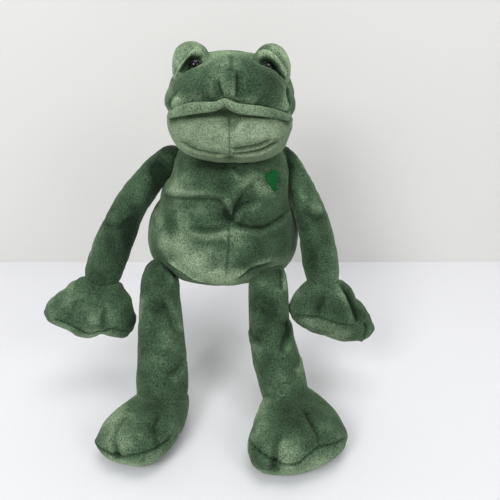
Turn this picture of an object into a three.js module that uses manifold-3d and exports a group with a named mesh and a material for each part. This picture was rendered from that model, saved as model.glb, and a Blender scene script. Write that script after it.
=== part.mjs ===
// A stuffed plush frog that sits on the edge of a seat with its long arms and legs hanging down.
// Millimetres, +Z up, the frog faces -Y, and its left side is on +X.
// The origin is the middle of the flat patch that it sits on.
import * as THREE from 'three';
import { mergeVertices } from 'three/addons/utils/BufferGeometryUtils.js';
import Module from 'manifold-3d';

const wasm = await Module();
wasm.setup();

// Clearances and cloth
const SEAM_GAP = 0.35; // between stuffed pieces that are sewn together and don't move apart
const JOINT_GAP = 0.6; // between stuffed pieces that turn against each other
const PLUSH_WALL = 4; // plush cloth with its pile and the seam allowance behind it
const SEAT_FLAT = 0.5; // depth that is pressed flat where the frog sits
const SEAM_OPENING = 5; // radius of the opening that a piece is stuffed through

// Torso
const TORSO_HEIGHT = 103;
const BELLY_HALF_WIDTH = 66.5;
const BELLY_HALF_DEPTH = 49;
const BELLY_HEIGHT = 28;
const WAIST_HALF_WIDTH = 55;
const WAIST_HEIGHT = 72;
const CHEST_HALF_WIDTH = 51;
const CHEST_HALF_DEPTH = 38;
const CHEST_HEIGHT = 93;
const TORSO_LEAN = 0.065; // sideways shift for each millimetre of height
const BELLY_FORWARD = 4;
const CHEST_BACK = 3;

// Neck and shoulder yoke, round about the axis on which the head nods
const NECK_HEIGHT = 104;
const NECK_BACK = 6;
const NECK_RADIUS = 21;
const YOKE_HALF_WIDTH = 50;

// Head, measured from the neck axis
const HEAD_TURN_DEG = -1.5;
const HEAD_ASIDE = 2;
const HEAD_TILT_DEG = 1.6; // towards the frog's left
const HEAD_HALF_WIDTH = 51;
const HEAD_HALF_DEPTH = 38;
const HEAD_HALF_HEIGHT = 36;
const HEAD_UP = 45;
const HEAD_BACK = 4;
const SNOUT_HALF_WIDTH = 46;
const SNOUT_HALF_DEPTH = 21;
const SNOUT_TOP = 25;
const SNOUT_BOTTOM = 15;
const SNOUT_UP = 57;
const SNOUT_FORWARD = 30;
const SNOUT_DROOP = 15;
const CHIN_HALF_WIDTH = 47;
const CHIN_HALF_DEPTH = 32;
const CHIN_HALF_HEIGHT = 28;
const CHIN_UP = 31;
const CHIN_FORWARD = 19;

// Eye mounds, beads and the washers that lock them
const EYE_MOUND_APART = 59;
const EYE_MOUND_HALF_WIDTH = 17.5;
const EYE_MOUND_HALF_DEPTH = 19;
const EYE_MOUND_HALF_HEIGHT = 20;
const EYE_MOUND_UP = 68;
const EYE_MOUND_FORWARD = 2;
const EYE_APART = 53;
const EYE_UP = 71;
const EYE_BEAD_RADIUS = 5.2;
const EYE_PROUD = 3.2;
const EYE_SHANK_RADIUS = 2;
const EYE_SHANK_LENGTH = 9.5;
const EYE_WASHER_RADIUS = 6;
const EYE_WASHER_THICKNESS = 1.2;
const EYE_WASHER_DEPTH = 6;

// Embroidered heart on the frog's left breast
const HEART_WIDTH = 15;
const HEART_HEIGHT = 17;
const HEART_THICKNESS = 1.6;
const HEART_UP = 90;
const HEART_ANGLE_DEG = 47; // round the chest from straight ahead
const HEART_SUNK = 0.9;

// Pellets in the seat reach up to here
const PELLET_LEVEL = 26;

// Arms: places are given from the shoulder as out, forward and down
const SHOULDER_HEIGHT = 100;
const SHOULDER_BACK = 3;
const ARM_TOP_RADIUS = 12.5;
const ARM_RADIUS = 13.5;
const WRIST_RADIUS = 14.5;
const ARM_POSE = {
  right: { bend: [21, 11, 19], elbow: [37, 22, 44], wrist: [53, 39, 80] },
  left: { bend: [11.5, 8, 17], elbow: [23, 23, 46], wrist: [29.5, 39, 80] },
};

// Hands and feet: flat stuffed paddles with three digits
const DIGITS = 3;
const DIGIT_ANGLE_DEG = 38;
const DIGIT_SHARE = 0.05; // how far a digit stands out, as a share of the paddle
const GROOVE_SHARE = 0.3; // how deep the groove between two digits is, as a share of the thickness
const HAND_LENGTH = 60;
const HAND_HALF_WIDTH = 37;
const HAND_HALF_THICKNESS = 12.5;
const HAND_HEEL_SHARE = 0.42;
const HAND_SQUARENESS = 2.5; // 2 is round, more is squarer
const HAND_POSE = {
  right: { aim: [0.14, 0.22, 0.97], roll: -2, aside: 6.5 },
  left: { aim: [0.16, 0.22, 0.97], roll: 14, aside: 7 },
};
const FOOT_LENGTH = 80;
const FOOT_HALF_WIDTH = 35;
const FOOT_HALF_THICKNESS = 16.5;
const FOOT_HEEL_SHARE = 0.66;
const FOOT_SQUARENESS = 2.25;
const FOOT_POSE = {
  right: { toeOut: 17, ankleBack: 16, aside: 1 },
  left: { toeOut: 19, ankleBack: 8, aside: -3 },
};

// Legs: places are given from the hip as out, forward and down
const HIP_APART = 88;
const HIP_ASIDE = -4; // the pair hangs a little towards the frog's right
const HIP_FORWARD = 28;
const HIP_HEIGHT = 15;
const HIP_RADIUS = 14;
const LEG_HALF_WIDTH = 20.5;
const LEG_HALF_DEPTH = 18;
const ANKLE_RADIUS = 17;
const ANKLE_HALF_WIDTH = 20.5;
const LEG_TOP_HALF_WIDTH = 17;
const ROLLER_SQUARENESS = 2.7; // of the rounded ends that the hips and ankles turn on
const LEG_POSE = {
  right: { knee: [0, 36, 48], ankle: [0, 54, 76] },
  left: { knee: [1.5, 36, 48], ankle: [13, 54, 76] },
};

// Ranges, in degrees from the pose that the frog sits in
const HIP_RAISE = 40;
const ANKLE_RANGE = 25;
const WRIST_RANGE = 40;

const cloth = (color) => new THREE.MeshStandardMaterial({ color, roughness: 0.95, metalness: 0 });
const BODY_PLUSH = cloth(0x4f6f4c);
const FACE_PLUSH = cloth(0x7c9470);
const HEART_THREAD = new THREE.MeshStandardMaterial({ color: 0x0d6a32, roughness: 0.5, metalness: 0 });
const EYE_PLASTIC = new THREE.MeshStandardMaterial({ color: 0x08080a, roughness: 0.08, metalness: 0 });
const WASHER_PLASTIC = new THREE.MeshStandardMaterial({ color: 0xe6e4dc, roughness: 0.5, metalness: 0 });
const FIBRE_FILL = cloth(0xf2f0ea);
const PELLET_POUCH = cloth(0xd8d4c8);

const SIDES = { right: -1, left: 1 };
const lerp = THREE.MathUtils.lerp;
const radians = THREE.MathUtils.degToRad;
const smooth = THREE.MathUtils.smoothstep;

// Closed surface through rings of equal count, closed on a point at each end
function closedForm(start, rings, end) {
  const count = rings[0].length;
  const points = [start, ...rings.flat(), end];
  const last = points.length - 1;
  const at = (ring, k) => 1 + ring * count + (k % count);
  const index = [];
  for (let k = 0; k < count; k += 1) {
    index.push(0, at(0, k + 1), at(0, k));
    index.push(last, at(rings.length - 1, k), at(rings.length - 1, k + 1));
    for (let ring = 0; ring < rings.length - 1; ring += 1) {
      index.push(at(ring, k), at(ring, k + 1), at(ring + 1, k + 1));
      index.push(at(ring, k), at(ring + 1, k + 1), at(ring + 1, k));
    }
  }
  const geometry = new THREE.BufferGeometry();
  const places = points.flatMap((point) => point.toArray());
  geometry.setAttribute('position', new THREE.Float32BufferAttribute(places, 3));
  geometry.setIndex(volumeOf(points, index) < 0 ? flipped(index) : index);
  return geometry;
}

function volumeOf(points, index) {
  let volume = 0;
  for (let k = 0; k < index.length; k += 3) {
    volume += points[index[k]].dot(points[index[k + 1]].clone().cross(points[index[k + 2]])) / 6;
  }
  return volume;
}

function flipped(index) {
  const turned = [];
  for (let k = 0; k < index.length; k += 3) turned.push(index[k], index[k + 2], index[k + 1]);
  return turned;
}

// Solid from a closed geometry, and back
function solidOf(geometry) {
  const bare = geometry.clone();
  bare.deleteAttribute('normal');
  bare.deleteAttribute('uv');
  const merged = mergeVertices(bare, 1e-4);
  return new wasm.Manifold(new wasm.Mesh({
    numProp: 3,
    vertProperties: new Float32Array(merged.attributes.position.array),
    triVerts: new Uint32Array(merged.index.array),
  }));
}

function geometryOf(solid) {
  const mesh = solid.getMesh();
  const geometry = new THREE.BufferGeometry();
  geometry.setAttribute('position', new THREE.BufferAttribute(new Float32Array(mesh.vertProperties), 3));
  geometry.setIndex(new THREE.BufferAttribute(new Uint32Array(mesh.triVerts), 1));
  geometry.computeVertexNormals();
  return geometry;
}

const cut = (solid, ...cutters) => cutters.reduce((left, cutter) => left.subtract(cutter), solid);

// Cosine and sine of a superellipse: 2 is round, more is squarer
function rounded(angle, squareness) {
  const power = 2 / squareness;
  const c = Math.cos(angle);
  const s = Math.sin(angle);
  return [Math.sign(c) * Math.abs(c) ** power, Math.sign(s) * Math.abs(s) ** power];
}

// Stuffed ball with its poles left and right, whose ends may droop
function puff({ half, up = half[2], squareness = 2, droop = 0, stations = 12, sides = 16 }) {
  const place = (x, y, z) => new THREE.Vector3(x, y, z - droop * (x / half[0]) ** 2);
  const rings = [];
  for (let k = 1; k < stations; k += 1) {
    const [along, size] = rounded((Math.PI * k) / stations, squareness);
    const ring = [];
    for (let j = 0; j < sides; j += 1) {
      const [c, s] = rounded((2 * Math.PI * j) / sides, 2);
      ring.push(place(half[0] * along, half[1] * size * c, (s > 0 ? up : half[2]) * size * s));
    }
    rings.push(ring);
  }
  return closedForm(place(half[0], 0, 0), rings, place(-half[0], 0, 0));
}

// Stuffed tube along a curve. Sizes are [share of the length, half width, half depth]
function stuffedTube({ path, sizes, side, steps = 12, sides = 16, grow = 0 }) {
  const curve = new THREE.CatmullRomCurve3(path);
  const profile = new THREE.CatmullRomCurve3(sizes.map((size) => new THREE.Vector3(...size)));
  const rings = [];
  for (let k = 0; k <= steps; k += 1) {
    const [share, halfWidth, halfDepth] = profile.getPoint(k / steps).toArray();
    const middle = curve.getPointAt(THREE.MathUtils.clamp(share, 0, 1));
    const along = curve.getTangentAt(THREE.MathUtils.clamp(share, 0, 1));
    const across = side.clone().addScaledVector(along, -side.dot(along)).normalize();
    const front = across.clone().cross(along);
    const ring = [];
    for (let j = 0; j < sides; j += 1) {
      const [c, s] = rounded((2 * Math.PI * j) / sides, 2);
      ring.push(middle.clone().addScaledVector(across, (halfWidth + grow) * c)
        .addScaledVector(front, (halfDepth + grow) * s));
    }
    rings.push(ring);
  }
  return closedForm(curve.getPointAt(0), rings, curve.getPointAt(1));
}

function ball(radius, centre, detail = 20) {
  return solidOf(new THREE.SphereGeometry(radius, detail, detail / 2).translate(...centre.toArray()));
}

// Everything on the far side of a plane through a point
function farSide(point, direction, reach = 400) {
  const block = new THREE.BoxGeometry(reach, reach, reach).translate(0, 0, reach / 2);
  block.applyQuaternion(new THREE.Quaternion().setFromUnitVectors(new THREE.Vector3(0, 0, 1), direction));
  return solidOf(block.translate(...point.toArray()));
}

// Outline of the torso: half width, half depth and height, with how far each level lies forward
const TORSO_LEVELS = [
  [0.66 * BELLY_HALF_WIDTH, 0.52 * BELLY_HALF_DEPTH, -SEAT_FLAT],
  [0.86 * BELLY_HALF_WIDTH, 0.72 * BELLY_HALF_DEPTH, 0.18 * BELLY_HEIGHT],
  [0.96 * BELLY_HALF_WIDTH, 0.92 * BELLY_HALF_DEPTH, 0.5 * BELLY_HEIGHT],
  [BELLY_HALF_WIDTH, BELLY_HALF_DEPTH, BELLY_HEIGHT],
  [0.97 * BELLY_HALF_WIDTH, 0.97 * BELLY_HALF_DEPTH, lerp(BELLY_HEIGHT, WAIST_HEIGHT, 0.5)],
  [0.9 * BELLY_HALF_WIDTH, 0.92 * BELLY_HALF_DEPTH, lerp(BELLY_HEIGHT, WAIST_HEIGHT, 0.85)],
  [WAIST_HALF_WIDTH, lerp(BELLY_HALF_DEPTH, CHEST_HALF_DEPTH, 0.5), WAIST_HEIGHT],
  [lerp(WAIST_HALF_WIDTH, CHEST_HALF_WIDTH, 0.75), lerp(BELLY_HALF_DEPTH, CHEST_HALF_DEPTH, 0.8),
    lerp(WAIST_HEIGHT, CHEST_HEIGHT, 0.5)],
  [CHEST_HALF_WIDTH, CHEST_HALF_DEPTH, CHEST_HEIGHT],
  [0.93 * CHEST_HALF_WIDTH, 0.8 * CHEST_HALF_DEPTH, lerp(CHEST_HEIGHT, TORSO_HEIGHT, 0.65)],
  [0.6 * CHEST_HALF_WIDTH, 0.42 * CHEST_HALF_DEPTH, TORSO_HEIGHT],
];
const torsoProfile = new THREE.CatmullRomCurve3(TORSO_LEVELS.map((level) => new THREE.Vector3(...level)));
const leanAt = (height) => TORSO_LEAN * height;
const chestShare = (height) => smooth(height, BELLY_HEIGHT, CHEST_HEIGHT);
const torsoMiddle = (height) => lerp(-BELLY_FORWARD, CHEST_BACK, chestShare(height));

function middleOf(ring) {
  return ring.reduce((sum, place) => sum.add(place), new THREE.Vector3()).divideScalar(ring.length);
}

function torsoForm({ inset = 0, top = 1, steps = 12, sides = 20, lift = 0 }) {
  const rings = [];
  for (let k = 0; k <= steps; k += 1) {
    const [halfWidth, halfDepth, height] = torsoProfile.getPoint((top * k) / steps).toArray();
    const level = lift ? lerp(lift, TORSO_HEIGHT - lift, height / TORSO_HEIGHT) : height;
    const ring = [];
    for (let j = 0; j < sides; j += 1) {
      const [c, s] = rounded((2 * Math.PI * j) / sides, 2.15);
      ring.push(new THREE.Vector3(
        leanAt(level) + (halfWidth - inset) * c,
        torsoMiddle(height) + (halfDepth - inset) * s,
        level,
      ));
    }
    rings.push(ring);
  }
  return closedForm(middleOf(rings[0]), rings, middleOf(rings[steps]));
}

// Yoke across the shoulders, turned about the axis on which the head nods
const neck = new THREE.Vector3(leanAt(NECK_HEIGHT), NECK_BACK, NECK_HEIGHT);
function yoke(grow = 0) {
  const profile = [];
  const stations = 6;
  for (let k = 0; k <= stations; k += 1) {
    const [along, size] = rounded((Math.PI * k) / stations, 2.6);
    const radius = k % stations ? (NECK_RADIUS + grow) * size : 0;
    profile.push(new THREE.Vector2(radius, -(YOKE_HALF_WIDTH + grow) * along));
  }
  const turned = new THREE.LatheGeometry(profile, 14).rotateZ(-Math.PI / 2);
  return solidOf(turned.translate(...neck.toArray()));
}

// Places of the limbs
function fromJoint(joint, sign, [out, forward, down]) {
  return joint.clone().add(new THREE.Vector3(sign * out, -forward, -down));
}

function armPlaces(side) {
  const sign = SIDES[side];
  const shoulder = new THREE.Vector3(
    leanAt(SHOULDER_HEIGHT) + sign * (CHEST_HALF_WIDTH - 2), SHOULDER_BACK, SHOULDER_HEIGHT);
  const pose = ARM_POSE[side];
  const bends = [pose.bend, pose.elbow, pose.wrist].map((place) => fromJoint(shoulder, sign, place));
  const path = [shoulder, ...bends];
  return { sign, shoulder, path, wrist: path.at(-1) };
}

function legPlaces(side) {
  const sign = SIDES[side];
  const hip = new THREE.Vector3(HIP_ASIDE + (sign * HIP_APART) / 2, -HIP_FORWARD, HIP_HEIGHT);
  const pose = LEG_POSE[side];
  const path = [hip, ...[pose.knee, pose.ankle].map((place) => fromJoint(hip, sign, place))];
  return { sign, hip, path, ankle: path.at(-1) };
}

// What the torso fills, as seen from an arm that swings about the shoulder
function armSweep(side, grow = 0) {
  const { sign, shoulder } = armPlaces(side);
  const levels = 8;
  const reach = [];
  for (let k = 0; k <= levels; k += 1) {
    const [halfWidth, , height] = torsoProfile.getPoint(k / levels).toArray();
    const widest = height < BELLY_HEIGHT ? BELLY_HALF_WIDTH : halfWidth;
    const out = sign * (leanAt(height) - shoulder.x) + widest + JOINT_GAP + grow;
    if (height < CHEST_HEIGHT) reach.push(new THREE.Vector2(SHOULDER_HEIGHT - height, out));
  }
  const inside = -CHEST_HALF_WIDTH;
  const outline = [new THREE.Vector2(0, inside), new THREE.Vector2(reach[0].x, inside), ...reach,
    new THREE.Vector2(0, reach.at(-1).y)];
  const turned = new THREE.LatheGeometry(outline, 16).rotateZ((-sign * Math.PI) / 2);
  return solidOf(turned.translate(...shoulder.toArray()));
}

// Solid turned about a sideways axis through a joint: positive lifts the front
function swung(solid, joint, degrees) {
  const back = joint.clone().negate();
  return solid.translate(back.toArray()).rotate([-degrees, 0, 0]).translate(joint.toArray());
}

// Block between two corners
function block(low, high) {
  const size = high.clone().sub(low);
  const middle = low.clone().add(high).divideScalar(2);
  return solidOf(new THREE.BoxGeometry(...size.toArray()).translate(...middle.toArray()));
}

// Turns round a paddle's edge: close together over the digits, wider apart over the rest
function edgeTurns(fine, coarse) {
  const half = radians(DIGIT_ANGLE_DEG * DIGITS) / 2;
  const digits = Array.from({ length: fine }, (_, k) => Math.PI + lerp(-half, half, k / fine));
  const others = 2 * Math.PI - half;
  const rest = Array.from({ length: coarse }, (_, k) => Math.PI + lerp(half, others, k / coarse));
  return [...digits, ...rest];
}

// Flat stuffed paddle in its own frame: X across, Y from its root to the tips, Z through it
function paddle({ length, halfWidth, halfThickness, rootShare, squareness, turns, levels }) {
  const place = (turn, share, side) => {
    const [c, s] = rounded(turn, squareness);
    const along = (1 - c) / 2;
    const fromTip = THREE.MathUtils.euclideanModulo(turn, 2 * Math.PI) - Math.PI;
    const digit = Math.abs(fromTip) < radians(DIGIT_ANGLE_DEG * DIGITS) / 2 ? 1 : 0;
    const wave = digit * Math.cos((2 * Math.PI * fromTip) / radians(DIGIT_ANGLE_DEG));
    const reach = share * (1 + DIGIT_SHARE * wave);
    const groove = 1 - GROOVE_SHARE * digit * (0.5 - 0.5 * wave) * share ** 4;
    const height = halfThickness * Math.sqrt(1 - share ** 2.6) * groove;
    return new THREE.Vector3(
      halfWidth * s * lerp(rootShare, 1, smooth(along, 0, 0.6)) * reach,
      length * (0.5 + (along - 0.5) * reach),
      side * height,
    );
  };
  const level = (share, side) => turns.map((turn) => place(turn, share, side));
  const shareAt = (k) => Math.sin((Math.PI / 2) * ((k + 0.75) / (levels + 0.75)));
  const shares = Array.from({ length: levels }, (_, k) => shareAt(k));
  const above = shares.map((share) => level(share, 1));
  const below = shares.toReversed().map((share) => level(share, -1));
  return closedForm(new THREE.Vector3(0, length / 2, halfThickness), [...above, level(1, 1), ...below],
    new THREE.Vector3(0, length / 2, -halfThickness));
}

const OUTER_PADDLE = { turns: edgeTurns(12, 14), levels: 2 }; // 4 points to a digit
const INNER_PADDLE = { turns: edgeTurns(3, 9), levels: 1 };

// Frame with Y along a limb's end and X across it
function frameAt(origin, along, across) {
  const y = along.clone().normalize();
  const x = across.clone().addScaledVector(y, -across.dot(y)).normalize();
  return new THREE.Matrix4().makeBasis(x, y, x.clone().cross(y)).setPosition(origin);
}

const placed = (geometry, frame) => solidOf(geometry.clone().applyMatrix4(frame));

// Straight opening that a piece is stuffed through
function opening(from, to, radius = SEAM_OPENING) {
  const line = to.clone().sub(from);
  const bore = new THREE.CylinderGeometry(radius, radius, line.length(), 8);
  const lengthwise = new THREE.Vector3(0, 1, 0);
  bore.applyQuaternion(new THREE.Quaternion().setFromUnitVectors(lengthwise, line.clone().normalize()));
  return solidOf(bore.translate(...from.clone().add(to).divideScalar(2).toArray()));
}

const frog = new THREE.Group();
function addPiece(name, solid, material) {
  const piece = new THREE.Mesh(geometryOf(solid), material);
  piece.name = name;
  frog.add(piece);
}

// Legs
const legSizes = (inset = 0) => [
  [inset ? 0.14 : 0, LEG_TOP_HALF_WIDTH - inset, HIP_RADIUS - 0.5 - inset],
  [0.3, lerp(LEG_TOP_HALF_WIDTH, LEG_HALF_WIDTH, 0.35) - inset,
    lerp(HIP_RADIUS, LEG_HALF_DEPTH, 0.6) - inset],
  [0.65, LEG_HALF_WIDTH - inset, LEG_HALF_DEPTH - inset],
  [inset ? 0.84 : 1, ANKLE_HALF_WIDTH - inset, ANKLE_RADIUS - inset],
];
const ACROSS = new THREE.Vector3(1, 0, 0);

// Rounded roller across a joint, on which the next piece turns
function roller(joint, half, radius) {
  const stations = 6;
  const profile = [];
  for (let k = 0; k <= stations; k += 1) {
    const [along, size] = rounded((Math.PI * k) / stations, ROLLER_SQUARENESS);
    profile.push(new THREE.Vector2(k % stations ? radius * size : 0, -half * along));
  }
  return solidOf(new THREE.LatheGeometry(profile, 12).rotateZ(-Math.PI / 2).translate(...joint.toArray()));
}

function legSolid(side, grow = 0) {
  const { hip, path, ankle } = legPlaces(side);
  return solidOf(stuffedTube({ path, sizes: legSizes(), side: ACROSS, grow, sides: 12, steps: 4 }))
    .add(roller(hip, LEG_TOP_HALF_WIDTH + grow, HIP_RADIUS + grow))
    .add(roller(ankle, ANKLE_HALF_WIDTH + grow, ANKLE_RADIUS + grow));
}

// Room that a leg needs under the belly from its lowest to its highest
function legRoom(side) {
  const { hip } = legPlaces(side);
  const raised = swung(legSolid(side, JOINT_GAP), hip, HIP_RAISE);
  const half = LEG_HALF_WIDTH + JOINT_GAP;
  const below = block(
    new THREE.Vector3(hip.x - half, hip.y - 3 * LEG_HALF_DEPTH, -HIP_HEIGHT),
    new THREE.Vector3(hip.x + half, hip.y + LEG_HALF_DEPTH, HIP_HEIGHT));
  return raised.add(below);
}

// The same room and the torso's wall round it, for what lies inside the torso
function legRoomWall(side, extra) {
  const { hip } = legPlaces(side);
  const wall = PLUSH_WALL + JOINT_GAP + extra;
  const reach = LEG_HALF_WIDTH + wall;
  const top = HIP_HEIGHT + LEG_HALF_DEPTH + wall;
  return block(
    new THREE.Vector3(hip.x - reach, hip.y - 4 * LEG_HALF_DEPTH, -HIP_HEIGHT),
    new THREE.Vector3(hip.x + reach, hip.y + LEG_HALF_DEPTH + wall, top));
}

function addLeg(side) {
  const { hip, path, ankle } = legPlaces(side);
  const heel = path.at(-1).clone().sub(path.at(-2)).normalize();
  const core = (inset) => solidOf(stuffedTube({
    path, sizes: legSizes(inset), side: ACROSS, sides: 8, steps: 4 }));
  const stuffed = ankle.clone().addScaledVector(heel, -0.3 * ankle.distanceTo(hip));
  const outside = ankle.clone().addScaledVector(heel, 2 * ANKLE_RADIUS);
  const hollow = core(PLUSH_WALL).add(opening(stuffed, outside));
  addPiece(`leg_${side}`, cut(legSolid(side), hollow), BODY_PLUSH);
  addPiece(`leg_fill_${side}`, core(PLUSH_WALL + SEAM_GAP), FIBRE_FILL);
}

// Feet
function addFoot(side) {
  const { sign, path, ankle } = legPlaces(side);
  const pose = FOOT_POSE[side];
  const turn = radians(pose.toeOut);
  const aim = new THREE.Vector3(sign * Math.sin(turn), -Math.cos(turn), 0);
  const across = new THREE.Vector3(Math.cos(turn), sign * Math.sin(turn), 0);
  const heel = ankle.clone()
    .addScaledVector(aim, -pose.ankleBack)
    .addScaledVector(across, sign * pose.aside)
    .add(new THREE.Vector3(0, 0, -ANKLE_RADIUS));
  const form = (inset) => placed(paddle({
    length: FOOT_LENGTH - 2 * inset,
    halfWidth: FOOT_HALF_WIDTH - inset,
    halfThickness: FOOT_HALF_THICKNESS - inset,
    rootShare: FOOT_HEEL_SHARE,
    squareness: FOOT_SQUARENESS,
    ...(inset ? INNER_PADDLE : OUTER_PADDLE),
  }), frameAt(heel.clone().addScaledVector(aim, inset), aim, across));
  const legWay = path.at(-1).clone().sub(path.at(-2)).normalize();
  const setBack = ANKLE_RADIUS * Math.cos(radians(ANKLE_RANGE + 35));
  const rootAt = (depth) => ankle.clone().addScaledVector(legWay, setBack + depth);
  const root = (depth) => farSide(rootAt(depth), legWay.clone().negate());
  const socket = (extra) => roller(ankle, ANKLE_HALF_WIDTH + extra, ANKLE_RADIUS + extra);
  const middle = heel.clone().addScaledVector(aim, FOOT_LENGTH / 2);
  const inner = (extra) => cut(form(PLUSH_WALL + extra), root(PLUSH_WALL + extra),
    socket(JOINT_GAP + PLUSH_WALL + extra));
  const hollow = inner(0).add(opening(middle, ankle));
  addPiece(`foot_${side}`, cut(form(0), root(0), socket(JOINT_GAP), hollow), BODY_PLUSH);
  addPiece(`foot_pouch_${side}`, inner(SEAM_GAP), PELLET_POUCH);
}

// Arms
const armSizes = (inset = 0) => [
  [0, ARM_TOP_RADIUS - inset, ARM_TOP_RADIUS - inset],
  [0.4, lerp(ARM_TOP_RADIUS, ARM_RADIUS, 0.5) - inset, lerp(ARM_TOP_RADIUS, ARM_RADIUS, 0.5) - inset],
  [0.7, ARM_RADIUS - inset, ARM_RADIUS - inset],
  [inset ? 0.87 : 1, WRIST_RADIUS - inset, WRIST_RADIUS - inset],
];

function addArm(side) {
  const { shoulder, path, wrist } = armPlaces(side);
  const tube = (inset, sides, steps) => solidOf(stuffedTube({
    path, sizes: armSizes(inset), side: ACROSS, sides, steps }));
  const end = path.at(-1).clone().sub(path.at(-2)).normalize();
  const stuffed = wrist.clone().addScaledVector(end, -2 * WRIST_RADIUS);
  const core = (inset) => cut(tube(inset, 8, 4), armSweep(side, inset));
  const outside = wrist.clone().addScaledVector(end, 2 * WRIST_RADIUS);
  const hollow = core(PLUSH_WALL).add(opening(stuffed, outside));
  const form = tube(0, 10, 6).add(ball(ARM_TOP_RADIUS, shoulder, 10)).add(ball(WRIST_RADIUS, wrist, 10));
  addPiece(`arm_${side}`, cut(form, armSweep(side), hollow), BODY_PLUSH);
  addPiece(`arm_fill_${side}`, core(PLUSH_WALL + SEAM_GAP), FIBRE_FILL);
}

// Hands
function addHand(side) {
  const { sign, wrist } = armPlaces(side);
  const pose = HAND_POSE[side];
  const [out, forward, down] = pose.aim;
  const aim = new THREE.Vector3(sign * out, -forward, -down).normalize();
  const roll = radians(pose.roll);
  const across = new THREE.Vector3(Math.cos(roll), 0, -Math.sin(roll));
  const start = wrist.clone().addScaledVector(across, sign * pose.aside);
  const form = (inset) => placed(paddle({
    length: HAND_LENGTH - 2 * inset,
    halfWidth: HAND_HALF_WIDTH - inset,
    halfThickness: HAND_HALF_THICKNESS - inset,
    rootShare: HAND_HEEL_SHARE,
    squareness: HAND_SQUARENESS,
    ...(inset ? INNER_PADDLE : OUTER_PADDLE),
  }), frameAt(start.clone().addScaledVector(aim, inset), aim, across));
  const setBack = WRIST_RADIUS * Math.cos(radians(WRIST_RANGE + 10));
  const rootAt = (depth) => wrist.clone().addScaledVector(aim, setBack + depth);
  const root = (depth) => farSide(rootAt(depth), aim.clone().negate());
  const socket = (extra, detail) => ball(WRIST_RADIUS + JOINT_GAP + extra, wrist, detail);
  const middle = wrist.clone().addScaledVector(aim, HAND_LENGTH / 2);
  const inner = (extra) => cut(form(PLUSH_WALL + extra), root(PLUSH_WALL + extra),
    socket(PLUSH_WALL + extra, 10));
  const hollow = inner(0).add(opening(middle, wrist));
  addPiece(`hand_${side}`, cut(form(0), root(0), socket(0, 16), hollow), BODY_PLUSH);
  addPiece(`hand_pouch_${side}`, inner(SEAM_GAP), PELLET_POUCH);
}

// Torso with the heart, its fill and the pellets that weigh the seat down
function heartFrame() {
  const turn = radians(HEART_ANGLE_DEG);
  const surface = new THREE.Vector3(
    leanAt(HEART_UP) + CHEST_HALF_WIDTH * Math.sin(turn),
    torsoMiddle(HEART_UP) - CHEST_HALF_DEPTH * Math.cos(turn),
    HEART_UP,
  );
  const normal = new THREE.Vector3(
    Math.sin(turn) / CHEST_HALF_WIDTH, -Math.cos(turn) / CHEST_HALF_DEPTH, 0).normalize();
  const across = new THREE.Vector3(-normal.y, normal.x, 0);
  const frame = new THREE.Matrix4().makeBasis(across, new THREE.Vector3(0, 0, 1), normal);
  return { surface, normal, frame };
}

function heartPlate(grow, thickness) {
  const w = HEART_WIDTH / 2 + grow;
  const h = HEART_HEIGHT / 2 + grow;
  const shape = new THREE.Shape();
  shape.moveTo(0, -h);
  shape.bezierCurveTo(0.35 * w, -0.5 * h, w, -0.1 * h, w, 0.45 * h);
  shape.bezierCurveTo(w, 0.95 * h, 0.25 * w, 1.15 * h, 0, 0.6 * h);
  shape.bezierCurveTo(-0.25 * w, 1.15 * h, -w, 0.95 * h, -w, 0.45 * h);
  shape.bezierCurveTo(-w, -0.1 * h, -0.35 * w, -0.5 * h, 0, -h);
  return new THREE.ExtrudeGeometry(shape, { depth: thickness, bevelEnabled: false, curveSegments: 6 });
}

function addTorso() {
  const { surface, normal, frame } = heartFrame();
  const plate = (grow, thickness, sunk) => placed(heartPlate(grow, thickness),
    frame.clone().setPosition(surface.clone().addScaledVector(normal, -sunk)));
  const seat = farSide(new THREE.Vector3(0, 0, 0), new THREE.Vector3(0, 0, -1));
  const innerForm = (inset) => solidOf(torsoForm({ inset, lift: inset, top: 0.9, steps: 6, sides: 12 }));
  const room = (extra) => cut(
    innerForm(PLUSH_WALL + extra),
    ...Object.keys(SIDES).map((side) => legRoomWall(side, extra)));
  const neckOpening = opening(new THREE.Vector3(leanAt(CHEST_HEIGHT), CHEST_BACK, CHEST_HEIGHT - 10),
    neck.clone().add(new THREE.Vector3(0, 0, 2 * NECK_RADIUS)), 1.6 * SEAM_OPENING);
  const form = solidOf(torsoForm({})).add(yoke());
  const heartBed = plate(SEAM_GAP, 3 * HEART_THICKNESS, HEART_SUNK + SEAM_GAP);
  const legRooms = Object.keys(SIDES).map(legRoom);
  addPiece('torso', cut(form, seat, ...legRooms, room(0), neckOpening, heartBed), BODY_PLUSH);
  addPiece('heart', plate(0, HEART_THICKNESS, HEART_SUNK), HEART_THREAD);
  const pelletTop = farSide(new THREE.Vector3(0, 0, PELLET_LEVEL), new THREE.Vector3(0, 0, 1));
  const fillBottom = farSide(new THREE.Vector3(0, 0, PELLET_LEVEL + SEAM_GAP), new THREE.Vector3(0, 0, -1));
  addPiece('torso_fill', cut(room(SEAM_GAP), fillBottom), FIBRE_FILL);
  addPiece('seat_pouch', cut(room(SEAM_GAP), pelletTop), PELLET_POUCH);
}

// Head
const headFrame = new THREE.Matrix4().makeTranslation(neck.x + HEAD_ASIDE, neck.y, neck.z)
  .multiply(new THREE.Matrix4().makeRotationZ(radians(HEAD_TURN_DEG)))
  .multiply(new THREE.Matrix4().makeRotationY(radians(HEAD_TILT_DEG)));
const inHead = (geometry, x, y, z) => placed(geometry.clone().translate(x, y, z), headFrame);

// Lathe about a line that runs straight back from a point on the face
function turnedBack(profile, { x, y, z }) {
  const points = profile.map(([radius, depth]) => new THREE.Vector2(radius, depth));
  return inHead(new THREE.LatheGeometry(points, 10), x, y, z);
}

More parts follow.
